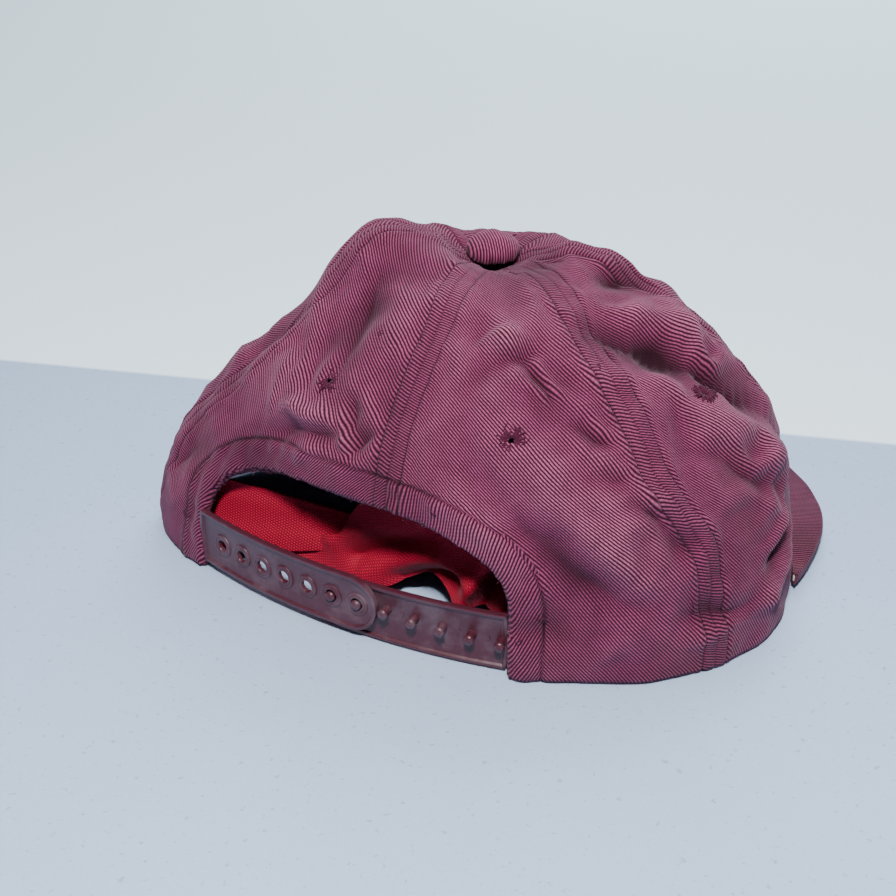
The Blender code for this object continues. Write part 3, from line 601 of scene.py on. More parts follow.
class Threads:
    """Collects many short tubes into one piece."""

    def __init__(self):
        self.verts, self.faces, self.count = [], [], 0

    def add(self, verts, faces):
        verts[:, 2] = np.maximum(verts[:, 2], LOWEST)
        self.verts.append(verts)
        self.faces += [tuple(i + self.count for i in face) for face in faces]
        self.count += len(verts)

    def stitch_run(self, points, normals, lift=0.00026, sides=5):
        """Stitches of even length along a path, each dipping into the cloth at its ends."""
        travel = run_length(points)
        pitch = STITCH + STITCH_GAP
        for number in range(int(travel[-1] / pitch)):
            span = number * pitch + np.linspace(0, STITCH, 5)
            line = np.stack([np.interp(span, travel, points[:, k]) for k in range(3)], 1)
            out = np.stack([np.interp(span, travel, normals[:, k]) for k in range(3)], 1)
            bow = np.sin(np.linspace(0, math.pi, 5)) * 1.25 - 0.55
            line = line + out * (lift + THREAD * bow)[:, None]
            self.add(*tube(line, THREAD * np.array([0.7, 1, 1, 1, 0.7]), sides, out))

    def piece(self, name, look):
        return make_piece(name, np.vstack(self.verts), self.faces, look)


# ---- materials --------------------------------------------------------------------------
def group_socket(tree, name, way, kind="NodeSocketFloat", default=None):
    socket = tree.interface.new_socket(name=name, in_out=way, socket_type=kind)
    if default is not None:
        socket.default_value = default
    return socket


def node(tree, kind, **settings):
    made = tree.nodes.new(kind)
    for key, value in settings.items():
        setattr(made, key, value)
    return made


def math_node(tree, operation, first, second=None, clamp=False):
    made = node(tree, "ShaderNodeMath", operation=operation, use_clamp=clamp)
    for socket, value in ((made.inputs[0], first), (made.inputs[1], second)):
        if value is None:
            continue
        if isinstance(value, (int, float)):
            socket.default_value = value
        else:
            tree.links.new(value, socket)
    return made.outputs[0]


def times(tree, first, second, clamp=False):
    return math_node(tree, "MULTIPLY", first, second, clamp)


def plus(tree, first, second, clamp=False):
    return math_node(tree, "ADD", first, second, clamp)


def minus(tree, first, second, clamp=False):
    return math_node(tree, "SUBTRACT", first, second, clamp)


def above(tree, value, start, gain):
    """How far a value is past its start, times a gain, from 0 to 1."""
    return times(tree, minus(tree, value, start), gain, clamp=True)


def scaled(colour, factor):
    return tuple(factor * c for c in colour)


def mix_colour(tree, factor, first, second):
    made = node(tree, "ShaderNodeMix", data_type="RGBA")
    for socket, value in ((made.inputs[0], factor), (made.inputs[6], first), (made.inputs[7], second)):
        if isinstance(value, (int, float)):
            socket.default_value = value
        elif isinstance(value, (tuple, list)):
            socket.default_value = (*value, 1) if len(value) == 3 else value
        else:
            tree.links.new(value, socket)
    return made.outputs[2]


def noise(tree, vector, scale, detail=3.0, roughness=0.55):
    made = node(tree, "ShaderNodeTexNoise")
    made.inputs["Scale"].default_value = scale
    made.inputs["Detail"].default_value = detail
    made.inputs["Roughness"].default_value = roughness
    tree.links.new(vector, made.inputs["Vector"])
    return made.outputs["Fac"]


def weave_group():
    """Diagonal ribs with yarn floats along them. Coordinates are metres on the cloth."""
    tree = bpy.data.node_groups.get("twill_weave")
    if tree:
        return tree
    tree = bpy.data.node_groups.new("twill_weave", "ShaderNodeTree")
    group_socket(tree, "Cloth", "INPUT", "NodeSocketVector")
    group_socket(tree, "Pitch", "INPUT", default=0.0012)
    group_socket(tree, "Slope", "INPUT", default=0.8)
    group_socket(tree, "Float", "INPUT", default=0.9)
    group_socket(tree, "Rib", "OUTPUT")
    group_socket(tree, "Yarn", "OUTPUT")
    into, out = node(tree, "NodeGroupInput"), node(tree, "NodeGroupOutput")
    wobble = noise(tree, into.outputs["Cloth"], 260.0, 2.0)
    split = node(tree, "ShaderNodeSeparateXYZ")
    tree.links.new(into.outputs["Cloth"], split.inputs[0])
    cosine = math_node(tree, "COSINE", into.outputs["Slope"])
    sine = math_node(tree, "SINE", into.outputs["Slope"])
    x, y = split.outputs[0], split.outputs[1]
    across = plus(tree, times(tree, x, sine), times(tree, y, cosine))
    along = minus(tree, times(tree, x, cosine),
                      times(tree, y, sine))
    wave = math_node(tree, "DIVIDE", across, into.outputs["Pitch"])
    wave = plus(tree, wave, times(tree, minus(tree, wobble, 0.5), 0.30))
    rib = math_node(tree, "SINE", times(tree, wave, 2 * math.pi))
    rib = plus(tree, times(tree, rib, 0.5), 0.5)
    run = math_node(tree, "DIVIDE", along, times(tree, into.outputs["Pitch"], into.outputs["Float"]))
    run = plus(tree, run, times(tree, math_node(tree, "FLOOR", wave), 0.5))
    yarn = math_node(tree, "SINE", times(tree, run, 2 * math.pi))
    yarn = plus(tree, times(tree, yarn, 0.5), 0.5)
    tree.links.new(rib, out.inputs["Rib"])
    tree.links.new(yarn, out.inputs["Yarn"])
    return tree


def add_weave(tree, pitch, slope, floats):
    """The shared weave on the piece's own cloth UVs."""
    weave = node(tree, "ShaderNodeGroup", node_tree=weave_group())
    tree.links.new(node(tree, "ShaderNodeUVMap", uv_map="cloth").outputs[0], weave.inputs["Cloth"])
    for name, value in (("Pitch", pitch), ("Slope", slope), ("Float", floats)):
        weave.inputs[name].default_value = value
    return weave


def base_material(name, roughness, sheen=0.0, sheen_roughness=0.5, specular=0.5):
    made = bpy.data.materials.new(name)
    made.use_nodes = True
    shader = made.node_tree.nodes["Principled BSDF"]
    shader.inputs["Roughness"].default_value = roughness
    shader.inputs["Sheen Weight"].default_value = sheen
    shader.inputs["Sheen Roughness"].default_value = sheen_roughness
    shader.inputs["Specular IOR Level"].default_value = specular
    return made, made.node_tree, shader


def bump(tree, shader, height, strength, distance):
    made = node(tree, "ShaderNodeBump")
    made.inputs["Strength"].default_value = strength
    made.inputs["Distance"].default_value = distance
    tree.links.new(height, made.inputs["Height"])
    tree.links.new(made.outputs[0], shader.inputs["Normal"])


def twill_material(name, slope, colours, sizes, brown=0.45, shade=1.0):
    """Washed twill: ribs lit along their floats, painted shade in the gaps between them, worn paler crests
    with painted shade in the fold valleys and seam grooves, and slightly brown patches.
    """
    made, tree, shader = base_material(name, 0.88, sheen=0.10, sheen_roughness=0.5, specular=0.14)
    shader.inputs["Sheen Tint"].default_value = (0.90, 0.58, 0.72, 1)
    place = node(tree, "ShaderNodeTexCoord").outputs["Object"]
    weave = add_weave(tree, sizes.twill_pitch, math.radians(slope), 1.6)
    wear_and_shade = node(tree, "ShaderNodeAttribute", attribute_name="wear_and_shade").outputs["Fac"]
    patches = noise(tree, place, 26.0, 3.0)
    mottle = noise(tree, place, 170.0, 4.0, 0.65)
    fibre = noise(tree, place, 2600.0, 2.0)
    lit = plus(tree, times(tree, weave.outputs["Yarn"], 0.25), 0.72)
    streak = plus(tree, times(tree, mottle, 0.9), 0.52)
    rib_mask = math_node(tree, "POWER", weave.outputs["Rib"], 1.15)
    rib_mask = times(tree, rib_mask, lit, clamp=True)
    rib_mask = times(tree, rib_mask, streak)
    rib_mask = times(tree, minus(tree, rib_mask, 0.10), 1.35, clamp=True)
    brown_mask = minus(tree, patches, 0.46, clamp=True)
    brown_mask = times(tree, brown_mask, 4.0 * brown, clamp=True)
    rib_colour = mix_colour(tree, brown_mask, scaled(colours.rib, shade),
                            scaled(colours.faded, shade))
    crest = times(tree, wear_and_shade, 0.50, clamp=True)
    rib_colour = mix_colour(tree, crest, rib_colour, scaled(colours.crest, shade))
    # the gap colour fills the grooves between the ribs as painted shade
    colour = mix_colour(tree, rib_mask, scaled(colours.gap, shade), rib_colour)
    # below zero the attribute darkens the cloth towards the gap colour: painted shade in the fold valleys and
    # seam grooves
    valley_shade = times(tree, wear_and_shade, -0.60, clamp=True)
    colour = mix_colour(tree, valley_shade, colour, scaled(colours.gap, 0.6))
    tree.links.new(colour, shader.inputs["Base Color"])
    height = plus(tree, weave.outputs["Rib"], times(tree, weave.outputs["Yarn"], 0.25))
    height = plus(tree, height, times(tree, fibre, 0.4))
    height = plus(tree, height, times(tree, mottle, 1.1))
    bump(tree, shader, height, 0.80, 0.00018)
    return made


def plain_material(name, roughness, dark, light, grain, relief=None, detail=2.0, metallic=0.0, **finish):
    """Two tones of one noise, with the noise as its relief."""
    made, tree, shader = base_material(name, roughness, **finish)
    shader.inputs["Metallic"].default_value = metallic
    tone = noise(tree, node(tree, "ShaderNodeTexCoord").outputs["Object"], grain, detail)
    tree.links.new(mix_colour(tree, tone, dark, light), shader.inputs["Base Color"])
    if relief:
        bump(tree, shader, tone, *relief)
    return made


def band_material(colours):
    """Coarse red weave: rows of small raised floats, with painted shade between them."""
    made, tree, shader = base_material("red_band_weave", 0.70, sheen=0.08, sheen_roughness=0.4, specular=0.22)
    shader.inputs["Sheen Tint"].default_value = (1.0, 0.45, 0.5, 1)
    place = node(tree, "ShaderNodeTexCoord").outputs["Object"]
    weave = add_weave(tree, 0.00078, 0.62, 1.5)
    knot = times(tree, math_node(tree, "POWER", weave.outputs["Rib"], 0.9),
                     math_node(tree, "POWER", weave.outputs["Yarn"], 0.6))
    mottle = noise(tree, place, 220.0, 3.0)
    # between the floats the red is darkened to a third: painted shade in the recesses of the weave
    dark = scaled(colours.band, 0.30)
    bright = mix_colour(tree, mottle, tuple(colours.band), scaled(colours.band, 1.35))
    colour = mix_colour(tree, knot, dark, bright)
    tree.links.new(colour, shader.inputs["Base Color"])
    bump(tree, shader, knot, 0.7, 0.0002)
    return made


def plastic_material(colours):
    """Moulded strap: dark maroon with a greyish bloom that gathers away from the edges."""
    made, tree, shader = base_material("maroon_plastic_bloom", 0.42, specular=0.45)
    place = node(tree, "ShaderNodeTexCoord").outputs["Object"]
    cloud = noise(tree, place, 95.0, 4.0, 0.6)
    speck = noise(tree, place, 900.0, 3.0)
    bloom = above(tree, cloud, 0.46, 4.0)
    bloom = times(tree, bloom, plus(tree, times(tree, speck, 0.5), 0.55))
    # on the strap this attribute holds only where the bloom gathers
    wear_and_shade = node(tree, "ShaderNodeAttribute", attribute_name="wear_and_shade").outputs["Fac"]
    bloom = times(tree, bloom, wear_and_shade, clamp=True)
    colour = mix_colour(tree, bloom, tuple(colours.plastic), tuple(colours.bloom))
    scratches = above(tree, noise(tree, place, 420.0, 5.0, 0.7), 0.56, 5.0)
    colour = mix_colour(tree, times(tree, scratches, 0.35), colour, tuple(colours.bloom))
    tree.links.new(colour, shader.inputs["Base Color"])
    rough = plus(tree, times(tree, bloom, 0.28), 0.36)
    tree.links.new(rough, shader.inputs["Roughness"])
    bump(tree, shader, plus(tree, speck, cloud), 0.22, 0.0001)
    return made


LOOKS = {}


def looks():
    """The cap's materials, made once."""
    if not LOOKS:
        scene = bpy.context.scene
        colours, sizes = scene.cap_colours, scene.cap_sizes
        for name, slope in TWILL_SLOPES.items():
            LOOKS[name] = twill_material("twill_" + name, slope, colours, sizes)
        LOOKS["seam"] = twill_material("twill_seam_strip", -22, colours, sizes, 0.3, 0.9)
        LOOKS["edge"] = twill_material("twill_folded_edge", 62, colours, sizes, 0.3, 0.95)
        LOOKS["visor"] = twill_material("twill_visor", -40, colours, sizes, 0.9, 0.66)
        # the cloth under the visor is this twill at about a third of its brightness: painted shade under the
        # visor
        LOOKS["under_visor"] = twill_material("twill_under_visor", 40, colours, sizes, 0.2, 0.35)
        LOOKS["button"] = twill_material("twill_button", 52, colours, sizes, 0.2, 1.1)
        LOOKS["thread"] = plain_material(
            "maroon_thread_fine", 0.8, tuple(colours.thread), scaled(colours.thread, 2.0), 3000.0,
            (0.5, 0.0001), sheen=0.04, specular=0.15)
        LOOKS["edge_fuzz"] = plain_material(
            "frayed_fibre", 0.9, scaled(colours.rib, 0.6), tuple(colours.crest), 900.0,
            sheen=0.2, specular=0.15)
        LOOKS["band"] = band_material(colours)
        LOOKS["plastic"] = plastic_material(colours)
        LOOKS["lining"] = plain_material(
            "dark_lining_cloth", 0.95, (0.004, 0.004, 0.007), (0.012, 0.012, 0.020), 1500.0,
            (0.5, 0.00015), sheen=0.05, specular=0.1)
        LOOKS["board"] = plain_material(
            "visor_board_fibre", 0.7, (0.52, 0.50, 0.44), (0.78, 0.76, 0.70), 700.0, (0.3, 0.0001), 4.0)
        LOOKS["metal"] = plain_material(
            "rivet_metal", 0.34, (0.30, 0.29, 0.28), (0.62, 0.61, 0.60), 1800.0, (0.15, 0.00005), 3.0, 1.0)
    return LOOKS


SHAPE = {}


def the_crown():
    if "crown" not in SHAPE:
        SHAPE["crown"] = Crown(bpy.context.scene.cap_sizes.fold_strength)
    return SHAPE["crown"]


# ---- crown surface with its sewing ---------------------------------------------------------
ARCH_ANGLE, ARCH_DOWN = arch_outline()


def arch_distance(points):
    """Metres to the edge of the back opening."""
    crown = the_crown()
    if "arch" not in SHAPE:
        SHAPE["arch"] = crown.at(ARCH_ANGLE, ARCH_DOWN)
    flat = points.reshape(-1, 3)
    line = SHAPE["arch"]
    near = np.flatnonzero(((flat > line.min(0) - 0.02) & (flat < line.max(0) + 0.02)).all(1))
    far = np.full(len(flat), 1.0)
    far[near] = crown.nearest(flat[near], line)[0]
    return far.reshape(points.shape[:-1])


def sewn_relief(points, to_seam, to_hem, to_arch, pucker):
    """Height of the cloth over its form from seam allowances, stitching and folded edges."""
    stitch = SEAM_LINE
    height = 0.00055 / (1 + np.exp((to_seam - 0.0064) / 0.00030))
    height -= 0.00050 * np.exp(-(to_seam / 0.00035) ** 2)
    height -= 0.00062 * np.exp(-((to_seam - stitch) / 0.00050) ** 2)
    near_seam = np.exp(-((to_seam - stitch) / 0.0042) ** 2)
    height += pucker * near_seam * ripple(points, 0.0085, 3)
    height += 0.22 * pucker * near_seam * ripple(points, 0.0038, 4)
    edge = np.minimum(to_hem, to_arch)
    height += 0.00055 / (1 + np.exp((to_arch - FACING_WIDTH) / 0.0004))
    height -= 0.00070 * np.exp(-((to_arch - FACING_STITCH) / 0.0006) ** 2)
    height += 2.0 * pucker * np.exp(-((to_arch - 0.007) / 0.0045) ** 2) * ripple(points, 0.0105, 5)
    height += 0.7 * pucker * np.exp(-((to_hem - 0.004) / 0.004) ** 2) * ripple(points, 0.014, 6)
    roll = np.clip(HEM_ROLL - edge, 0, HEM_ROLL)
    height -= HEM_ROLL - np.sqrt(np.maximum(HEM_ROLL**2 - roll**2, 0))
    height += 0.00016 * ripple(points, 0.012, 7) + 0.00034 * ripple(points, 0.027, 8)
    return height


def panel_columns(widths, cell):
    """Shares across a panel, close together along both seams."""
    middle = max(int((widths.max() - 2 * SEAM_OFFSETS[-1]) / cell), 6)
    total = []
    for width in widths:
        edge = SEAM_OFFSETS * min(1.0, 0.42 * width / SEAM_OFFSETS[-1])
        inner = np.linspace(edge[-1], width - edge[-1], middle + 2)[1:-1]
        total.append(np.concatenate([edge, inner, width - edge[::-1]]) / width)
    return np.array(total)


def crown_patch(panel, cell, top=0.035):
    """A panel's places: angles, ways down, plain points and metric cloth coordinates."""
    crown = the_crown()
    downs = np.linspace(top, 1, int(0.165 / cell))
    first, last = panel_edges(panel, downs)
    guide = np.linspace(0, 1, 41)
    ruler = crown.look(crown.form, first[:, None] * (1 - guide) + last[:, None] * guide, downs[:, None])
    steps = np.linalg.norm(np.diff(ruler, axis=1), axis=2)
    travel = np.concatenate([np.zeros((len(downs), 1)), np.cumsum(steps, 1)], 1)
    columns = panel_columns(travel[:, -1], cell)
    angle = np.empty(columns.shape)
    metric = np.empty(columns.shape + (2,))
    centre = run_length(ruler[:, 20])
    for row in range(len(downs)):
        share = np.interp(columns[row] * travel[row, -1], travel[row], guide)
        angle[row] = first[row] * (1 - share) + last[row] * share
        metric[row, :, 0] = -(columns[row] - 0.5) * travel[row, -1]
        metric[row, :, 1] = -centre[row]
    down = np.repeat(downs[:, None], columns.shape[1], 1)
    side = np.minimum(columns, 1 - columns) * travel[:, -1:]
    return angle, down, metric, side


def finish_cloth(piece, body_blend):
    if body_blend:
        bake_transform(piece)
    else:
        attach(piece, "root")


def is_front(name):
    return "front" in name or "side" in name


def make_panel(panel):
    crown = the_crown()
    name = PANELS[panel]
    cell = CELL if name.startswith("back") or name == "side_right" else COARSE
    angle, down, metric, side = crown_patch(panel, cell)
    plain = crown.at(angle, down)
    to_arch = arch_distance(plain)
    to_hem = crown.hem_distance(angle, down)
    inside = inside_arch(angle, down)
    to_arch = np.where(inside, 0.0, to_arch)
    pucker = bpy.context.scene.cap_sizes.pucker
    relief = sewn_relief(plain, side, to_hem, to_arch, pucker)
    eye = crown.at(*EYELETS[panel])
    to_eye = np.linalg.norm(plain - eye, axis=-1)
    relief -= 0.0005 * np.exp(-(to_eye / 0.0030) ** 2)
    points = crown.at(angle, down, -relief)
    points[..., 2] = np.maximum(points[..., 2], LOWEST)
    if name.startswith("back"):
        line = SHAPE["arch"]
        edge_low = crown.at(ARCH_ANGLE, ARCH_DOWN, HEM_ROLL)
        near = (to_arch < 1.3 * cell) & (to_arch > 0)
        flat = plain.reshape(-1, 3)
        picked = np.flatnonzero((near | (inside & (arch_distance(plain) < 1.3 * cell))).ravel())
        far, which = crown.nearest(flat[picked], line)
        snap = picked[far < 0.75 * cell]
        points.reshape(-1, 3)[snap] = edge_low[which[far < 0.75 * cell]]
    rows, columns = angle.shape
    faces = np.array(grid_faces(rows, columns))
    middle_angle = angle.ravel()[faces].mean(1)
    middle_down = down.ravel()[faces].mean(1)
    keep = ~inside_arch(middle_angle, middle_down)
    keep &= to_eye.ravel()[faces].mean(1) > EYELET_HOLE
    faces = faces[keep]
    used = np.unique(faces)
    renumber = np.full(rows * columns, -1)
    renumber[used] = np.arange(len(used))
    wear_and_shade = crown.look(crown.wear_and_shade, angle, down)
    # painted shade: the cloth is darkened along the stitch lines, the seam between panels and the facing's
    # stitch line, where the relief sinks into grooves
    wear_and_shade -= 1.8 * np.exp(-((side - SEAM_LINE) / 0.00042) ** 2) + 1.6 * np.exp(-(side / 0.0004) ** 2)
    wear_and_shade -= 1.5 * np.exp(-((to_arch - FACING_STITCH) / 0.0006) ** 2)
    piece = make_piece("cloth_panel_" + name, points.reshape(-1, 3)[used], renumber[faces],
                       looks()[name], metric.reshape(-1, 2)[used], wear_and_shade.ravel()[used])
    piece.data.materials.append(looks()["seam"])
    piece.data.materials.append(looks()["edge"])
    strip = (side.ravel()[faces].mean(1) < SEAM_LINE).astype(np.int32)
    strip[to_arch.ravel()[faces].mean(1) < FACING_STITCH] = 2
    piece.data.polygons.foreach_set("material_index", strip)
    apply_modifier(piece, "SOLIDIFY", thickness=CLOTH, offset=-1, use_even_offset=False)
    for vert in piece.data.vertices:
        vert.co.z = max(vert.co.z, LOWEST / 2)
    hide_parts("panel_" + name)
    finish_cloth(piece, is_front(name))
    return piece


def make_facing():
    """The opening's edge turned in and sewn down: it rolls over and runs up inside the wall."""
    crown = the_crown()
    line = crown.at(ARCH_ANGLE, ARCH_DOWN)
    normal = crown.normal(ARCH_ANGLE, ARCH_DOWN)
    way = unit(np.gradient(line, axis=0))
    away = np.cross(way, normal)
    middle = line.mean(0) + np.array([0, 0, -0.01])
    if ((line - middle) * away).sum() < 0:
        away = -away
    turn = np.linspace(0, math.pi, 7)
    profile = [(HEM_ROLL * (1 - math.sin(t)), HEM_ROLL * (1 - math.cos(t))) for t in turn]
    profile += [(x, 2 * HEM_ROLL + 0.0001) for x in (0.0035, 0.006, 0.009, FACING_WIDTH)]
    slim = np.clip((line[:, 2] - 0.014) / 0.016, 0.3, 1)[:, None]
    frayed = 0.0002 * ripple(line, 0.0016, 11) + 0.00022 * ripple(line, 0.006, 12)
    wave = 0.00045 * ripple(line, 0.010, 5)
    rows = []
    for out, sink in profile:
        shift = (out + frayed * max(0.0, 1 - out / 0.002))[:, None]
        rows.append(line + (away * shift - normal * (sink - wave * min(1.0, out / 0.004))[:, None]) * slim)
    verts = np.array(rows)
    verts[..., 2] = np.maximum(verts[..., 2], 0.0003)
    travel = run_length(line)
    uv = np.stack(np.meshgrid(travel, np.array([p[0] + p[1] for p in profile])), -1)
    piece = make_piece("folded_arch_edge", verts.reshape(-1, 3), grid_faces(*verts.shape[:2]),
                       looks()["edge"], uv.reshape(-1, 2), np.zeros(verts.shape[0] * verts.shape[1]))
    apply_modifier(piece, "SOLIDIFY", thickness=0.0004, offset=1)
    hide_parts("arch_facing")
    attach(piece, "root")
    return piece


def on_cloth(angle, down):
    """Points on the sewn cloth, for threads that lie on it."""
    crown = the_crown()
    plain = crown.at(angle, down)
    to_seam = np.min([np.abs(np.mod(angle - seam_angle(seam, down) + 180, 360) - 180)
                      * crown.degree_length(angle, down) for seam in range(6)], axis=0)
    relief = sewn_relief(plain, to_seam, crown.hem_distance(angle, down), arch_distance(plain),
                         bpy.context.scene.cap_sizes.pucker)
    return crown.at(angle, down, -relief)


def seam_path(seam, offset, start, stop, steps):
    """Angle and way down along a line beside a seam, offset in metres."""
    down = np.linspace(start, stop, steps)
    angle = seam_angle(seam, down)
    one_degree = the_crown().degree_length(angle, down)
    reach = np.minimum(abs(offset), 0.30 * 57 * one_degree) * np.sign(offset)
    return angle + reach / one_degree, down


def make_topstitching():
    crown = the_crown()
    back, front = Threads(), Threads()
    for seam, name in enumerate(SEAM_NAMES):
        stop = 0.69 if seam == 0 else 0.992
        target = back if name in ("back", "back_right", "back_left") else front
        for offset in (-SEAM_LINE, SEAM_LINE):
            angle, down = seam_path(seam, offset, 0.055, stop, 160)
            target.stitch_run(on_cloth(angle, down), crown.normal(angle, down))
    grow = np.full(len(ARCH_ANGLE), FACING_STITCH)
    for _ in range(4):
        angle, down = arch_outline(grow)
        grow = grow * FACING_STITCH / np.maximum(arch_distance(crown.at(angle, down)), 0.002)
    back.stitch_run(on_cloth(angle, down)[12:-12], crown.normal(angle, down)[12:-12])
    for edge, reach in ROOT_ROWS:
        down = np.linspace(0.865, 0.992, 60)
        angle = np.full(60, edge + DEGREES_PER_METRE * reach)
        back.stitch_run(on_cloth(angle, down), crown.normal(angle, down))
    for name, threads, blended in (("topstitching_back", back, False), ("topstitching_front", front, True)):
        piece = threads.piece(name, looks()["thread"])
        finish_cloth(piece, blended)


def make_eyelet(panel):
    """Hand-worked eyelet: a wiry ring of radial stitches round a real hole, with loose ends."""
    crown = the_crown()
    random = np.random.default_rng(100 + panel)
    centre = crown.at(*EYELETS[panel]) + crown.normal(*EYELETS[panel]) * 0.0004
    normal = crown.normal(*EYELETS[panel])
    side = np.cross(normal, [0, 0, 1.0])
    side /= np.linalg.norm(side)
    up = np.cross(side, normal)
    threads = Threads()

    def spot(turn, reach, lift):
        return centre + (side * math.cos(turn) + up * math.sin(turn)) * reach + normal * lift

    for number in range(EYELET_STITCHES):
        turn = 2 * math.pi * number / EYELET_STITCHES + random.normal(0, 0.05)
        inner = EYELET_HOLE + random.normal(0, 0.00016)
        outer = 0.0033 + random.normal(0, 0.00065)
        lean = random.normal(0, 0.16)
        path = [spot(turn, inner, -0.0007), spot(turn, inner + 0.0001, 0.0002),
                spot(turn + lean / 2, (inner + outer) / 2, 0.0006),
                spot(turn + lean, outer, 0.0003), spot(turn + lean, outer + 0.0002, -0.0004)]
        threads.add(*tube(path, 0.00025, 5, np.tile(normal, (5, 1))))
    for loops in range(2):
        turns = np.linspace(0, 2 * math.pi, 26)
        ring = [spot(t, 0.0013 + 0.0003 * loops + 0.00012 * math.sin(5 * t + loops), 0.0001) for t in turns]
        threads.add(*tube(ring, 0.00022, 5, np.tile(normal, (26, 1))))
    for number in range(4):
        turn = random.uniform(0, 2 * math.pi)
        curl = random.uniform(-0.9, 0.9)
        reach = random.uniform(0.0012, 0.0030)
        path = [spot(turn + curl * s, 0.0026 + reach * s, 0.0004 + 0.0008 * math.sin(3 * s))
                for s in np.linspace(0, 1, 7)]
        threads.add(*tube(path, 0.00011, 4))
    piece = threads.piece("worked_eyelet_" + PANELS[panel], looks()["thread"])
    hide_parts("eyelet_" + PANELS[panel])
    finish_cloth(piece, is_front(PANELS[panel]))


def inner_strip(name, replaced, angle, down, inset, look, front):
    """A thin strip of cloth that follows the inside of the crown."""
    crown = the_crown()
    points = crown.at(angle, down, inset + 0.0002 * ripple(crown.at(angle, down), 0.012, 21))
    along, across = run_length(points[:, 0]), run_length(points[-1])
    uv = np.stack(np.meshgrid(across, along), -1).reshape(-1, 2)
    piece = make_piece(name, points.reshape(-1, 3), grid_faces(*points.shape[:2]), look, uv,
                       np.zeros(points.shape[0] * points.shape[1]))
    apply_modifier(piece, "SOLIDIFY", thickness=0.0004, offset=-1)
    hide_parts(replaced)
    finish_cloth(piece, front)


def make_inside():
    """Tapes over the seams and the lining behind the front panels."""
    crown = the_crown()
    for seam, name in enumerate(SEAM_NAMES):
        down = np.linspace(0.105, 0.60 if seam == 0 else 0.77, 70)
        angle = seam_angle(seam, down)
        half = np.minimum(0.006 / crown.degree_length(angle, down), 16)
        angle = angle[:, None] + half[:, None] * np.linspace(-1, 1, 9)
        inner_strip("inside_tape_" + name, "seam_tape_" + name, angle, np.repeat(down[:, None], 9, 1), 0.0022,
                    looks()["lining"], name in ("front", "front_left", "front_right"))
    for panel in (2, 3):
        down = np.linspace(0.21, 0.76, 60)
        first, last = panel_edges(panel, down)
        share = np.linspace(0.2, 0.8, 30)
        angle = first[:, None] * (1 - share) + last[:, None] * share
        inner_strip("front_lining_" + PANELS[panel], "lining_" + PANELS[panel], angle,
                    np.repeat(down[:, None], 30, 1), 0.0022, looks()["lining"], True)


# ---- strap --------------------------------------------------------------------------------
def bend_to_strap(points):
    """Points of (along, height, depth) bent to the strap's arc, in the cap's frame."""
    turn = STRAP_START + points[:, 0] / STRAP_RADIUS
    reach = STRAP_RADIUS + points[:, 2]
    return np.stack([STRAP_CENTRE[0] + reach * np.cos(turn), STRAP_CENTRE[1] + reach * np.sin(turn),
                     points[:, 1]], 1) + SHIFT


def select_faces(piece, chosen):
    """Select the faces for which chosen(centre, normal) holds; the piece is left in edit mode."""
    if bpy.context.mode != "OBJECT":
        bpy.ops.object.mode_set(mode="OBJECT")
    for item in (*piece.data.vertices, *piece.data.edges, *piece.data.polygons):
        item.select = False
    for face in piece.data.polygons:
        face.select = chosen(face.center, face.normal)
    bpy.ops.object.mode_set(mode="EDIT")
    bpy.ops.mesh.select_mode(type="FACE")


def strap_blank(name, start, end, low, depth):
    """A flat moulded bar with a round tip and a shallow channel inside a raised rim."""
    deselect()
    radius = STRAP_HEIGHT / 2
    centre = (end - radius * math.copysign(1, end - start), low + radius, depth - WEB)
    bpy.ops.mesh.primitive_cylinder_add(vertices=64, radius=radius, depth=WEB + RIM, location=centre)
    blank = bpy.context.object
    blank.name = name
    bpy.ops.object.transform_apply(location=True)
    for vert in blank.data.vertices:
        if (vert.co.x - centre[0]) * (end - start) < 1e-6:
            vert.co.x += start - centre[0] + (vert.co.x - centre[0]) * -0.9
        vert.co.z += (WEB + RIM) / 2
    select_faces(blank, lambda spot, normal: normal.z > 0.9)
    bpy.ops.mesh.inset(thickness=RIM_WIDTH * 0.75)
    bpy.ops.mesh.inset(thickness=RIM_WIDTH * 0.25, depth=-RIM)
    bpy.ops.object.mode_set(mode="OBJECT")
    return blank


def copy_along(model, places):
    """One model at several places along the strap, each copy with its own mesh."""
    copies = []
    for along, height, depth in places:
        copy = model.copy()
        copy.data = model.data.copy()
        copy.data.transform(Matrix.Translation((along, height, depth)))
        bpy.context.scene.collection.objects.link(copy)
        copies.append(copy)
    return copies


def join_into(piece, others):
    deselect()
    for item in others:
        item.select_set(True)
    piece.select_set(True)
    bpy.context.view_layer.objects.active = piece
    bpy.ops.object.join()


def ring_model():
    """Two concentric raised rings round one hole."""
    deselect()
    bpy.ops.mesh.primitive_torus_add(major_segments=36, minor_segments=10, major_radius=RING_RADIUS,
                                     minor_radius=0.00056)
    outer = bpy.context.object
    bpy.ops.mesh.primitive_torus_add(major_segments=32, minor_segments=10, major_radius=HOLE_RADIUS + 0.0004,
                                     minor_radius=0.00056)
    inner = bpy.context.object
    join_into(outer, [inner])
    bpy.ops.object.mode_set(mode="EDIT")
    bpy.ops.mesh.select_all(action="SELECT")
    bpy.ops.transform.resize(value=(1, 1.06, 0.85))
    bpy.ops.object.mode_set(mode="OBJECT")
    return outer


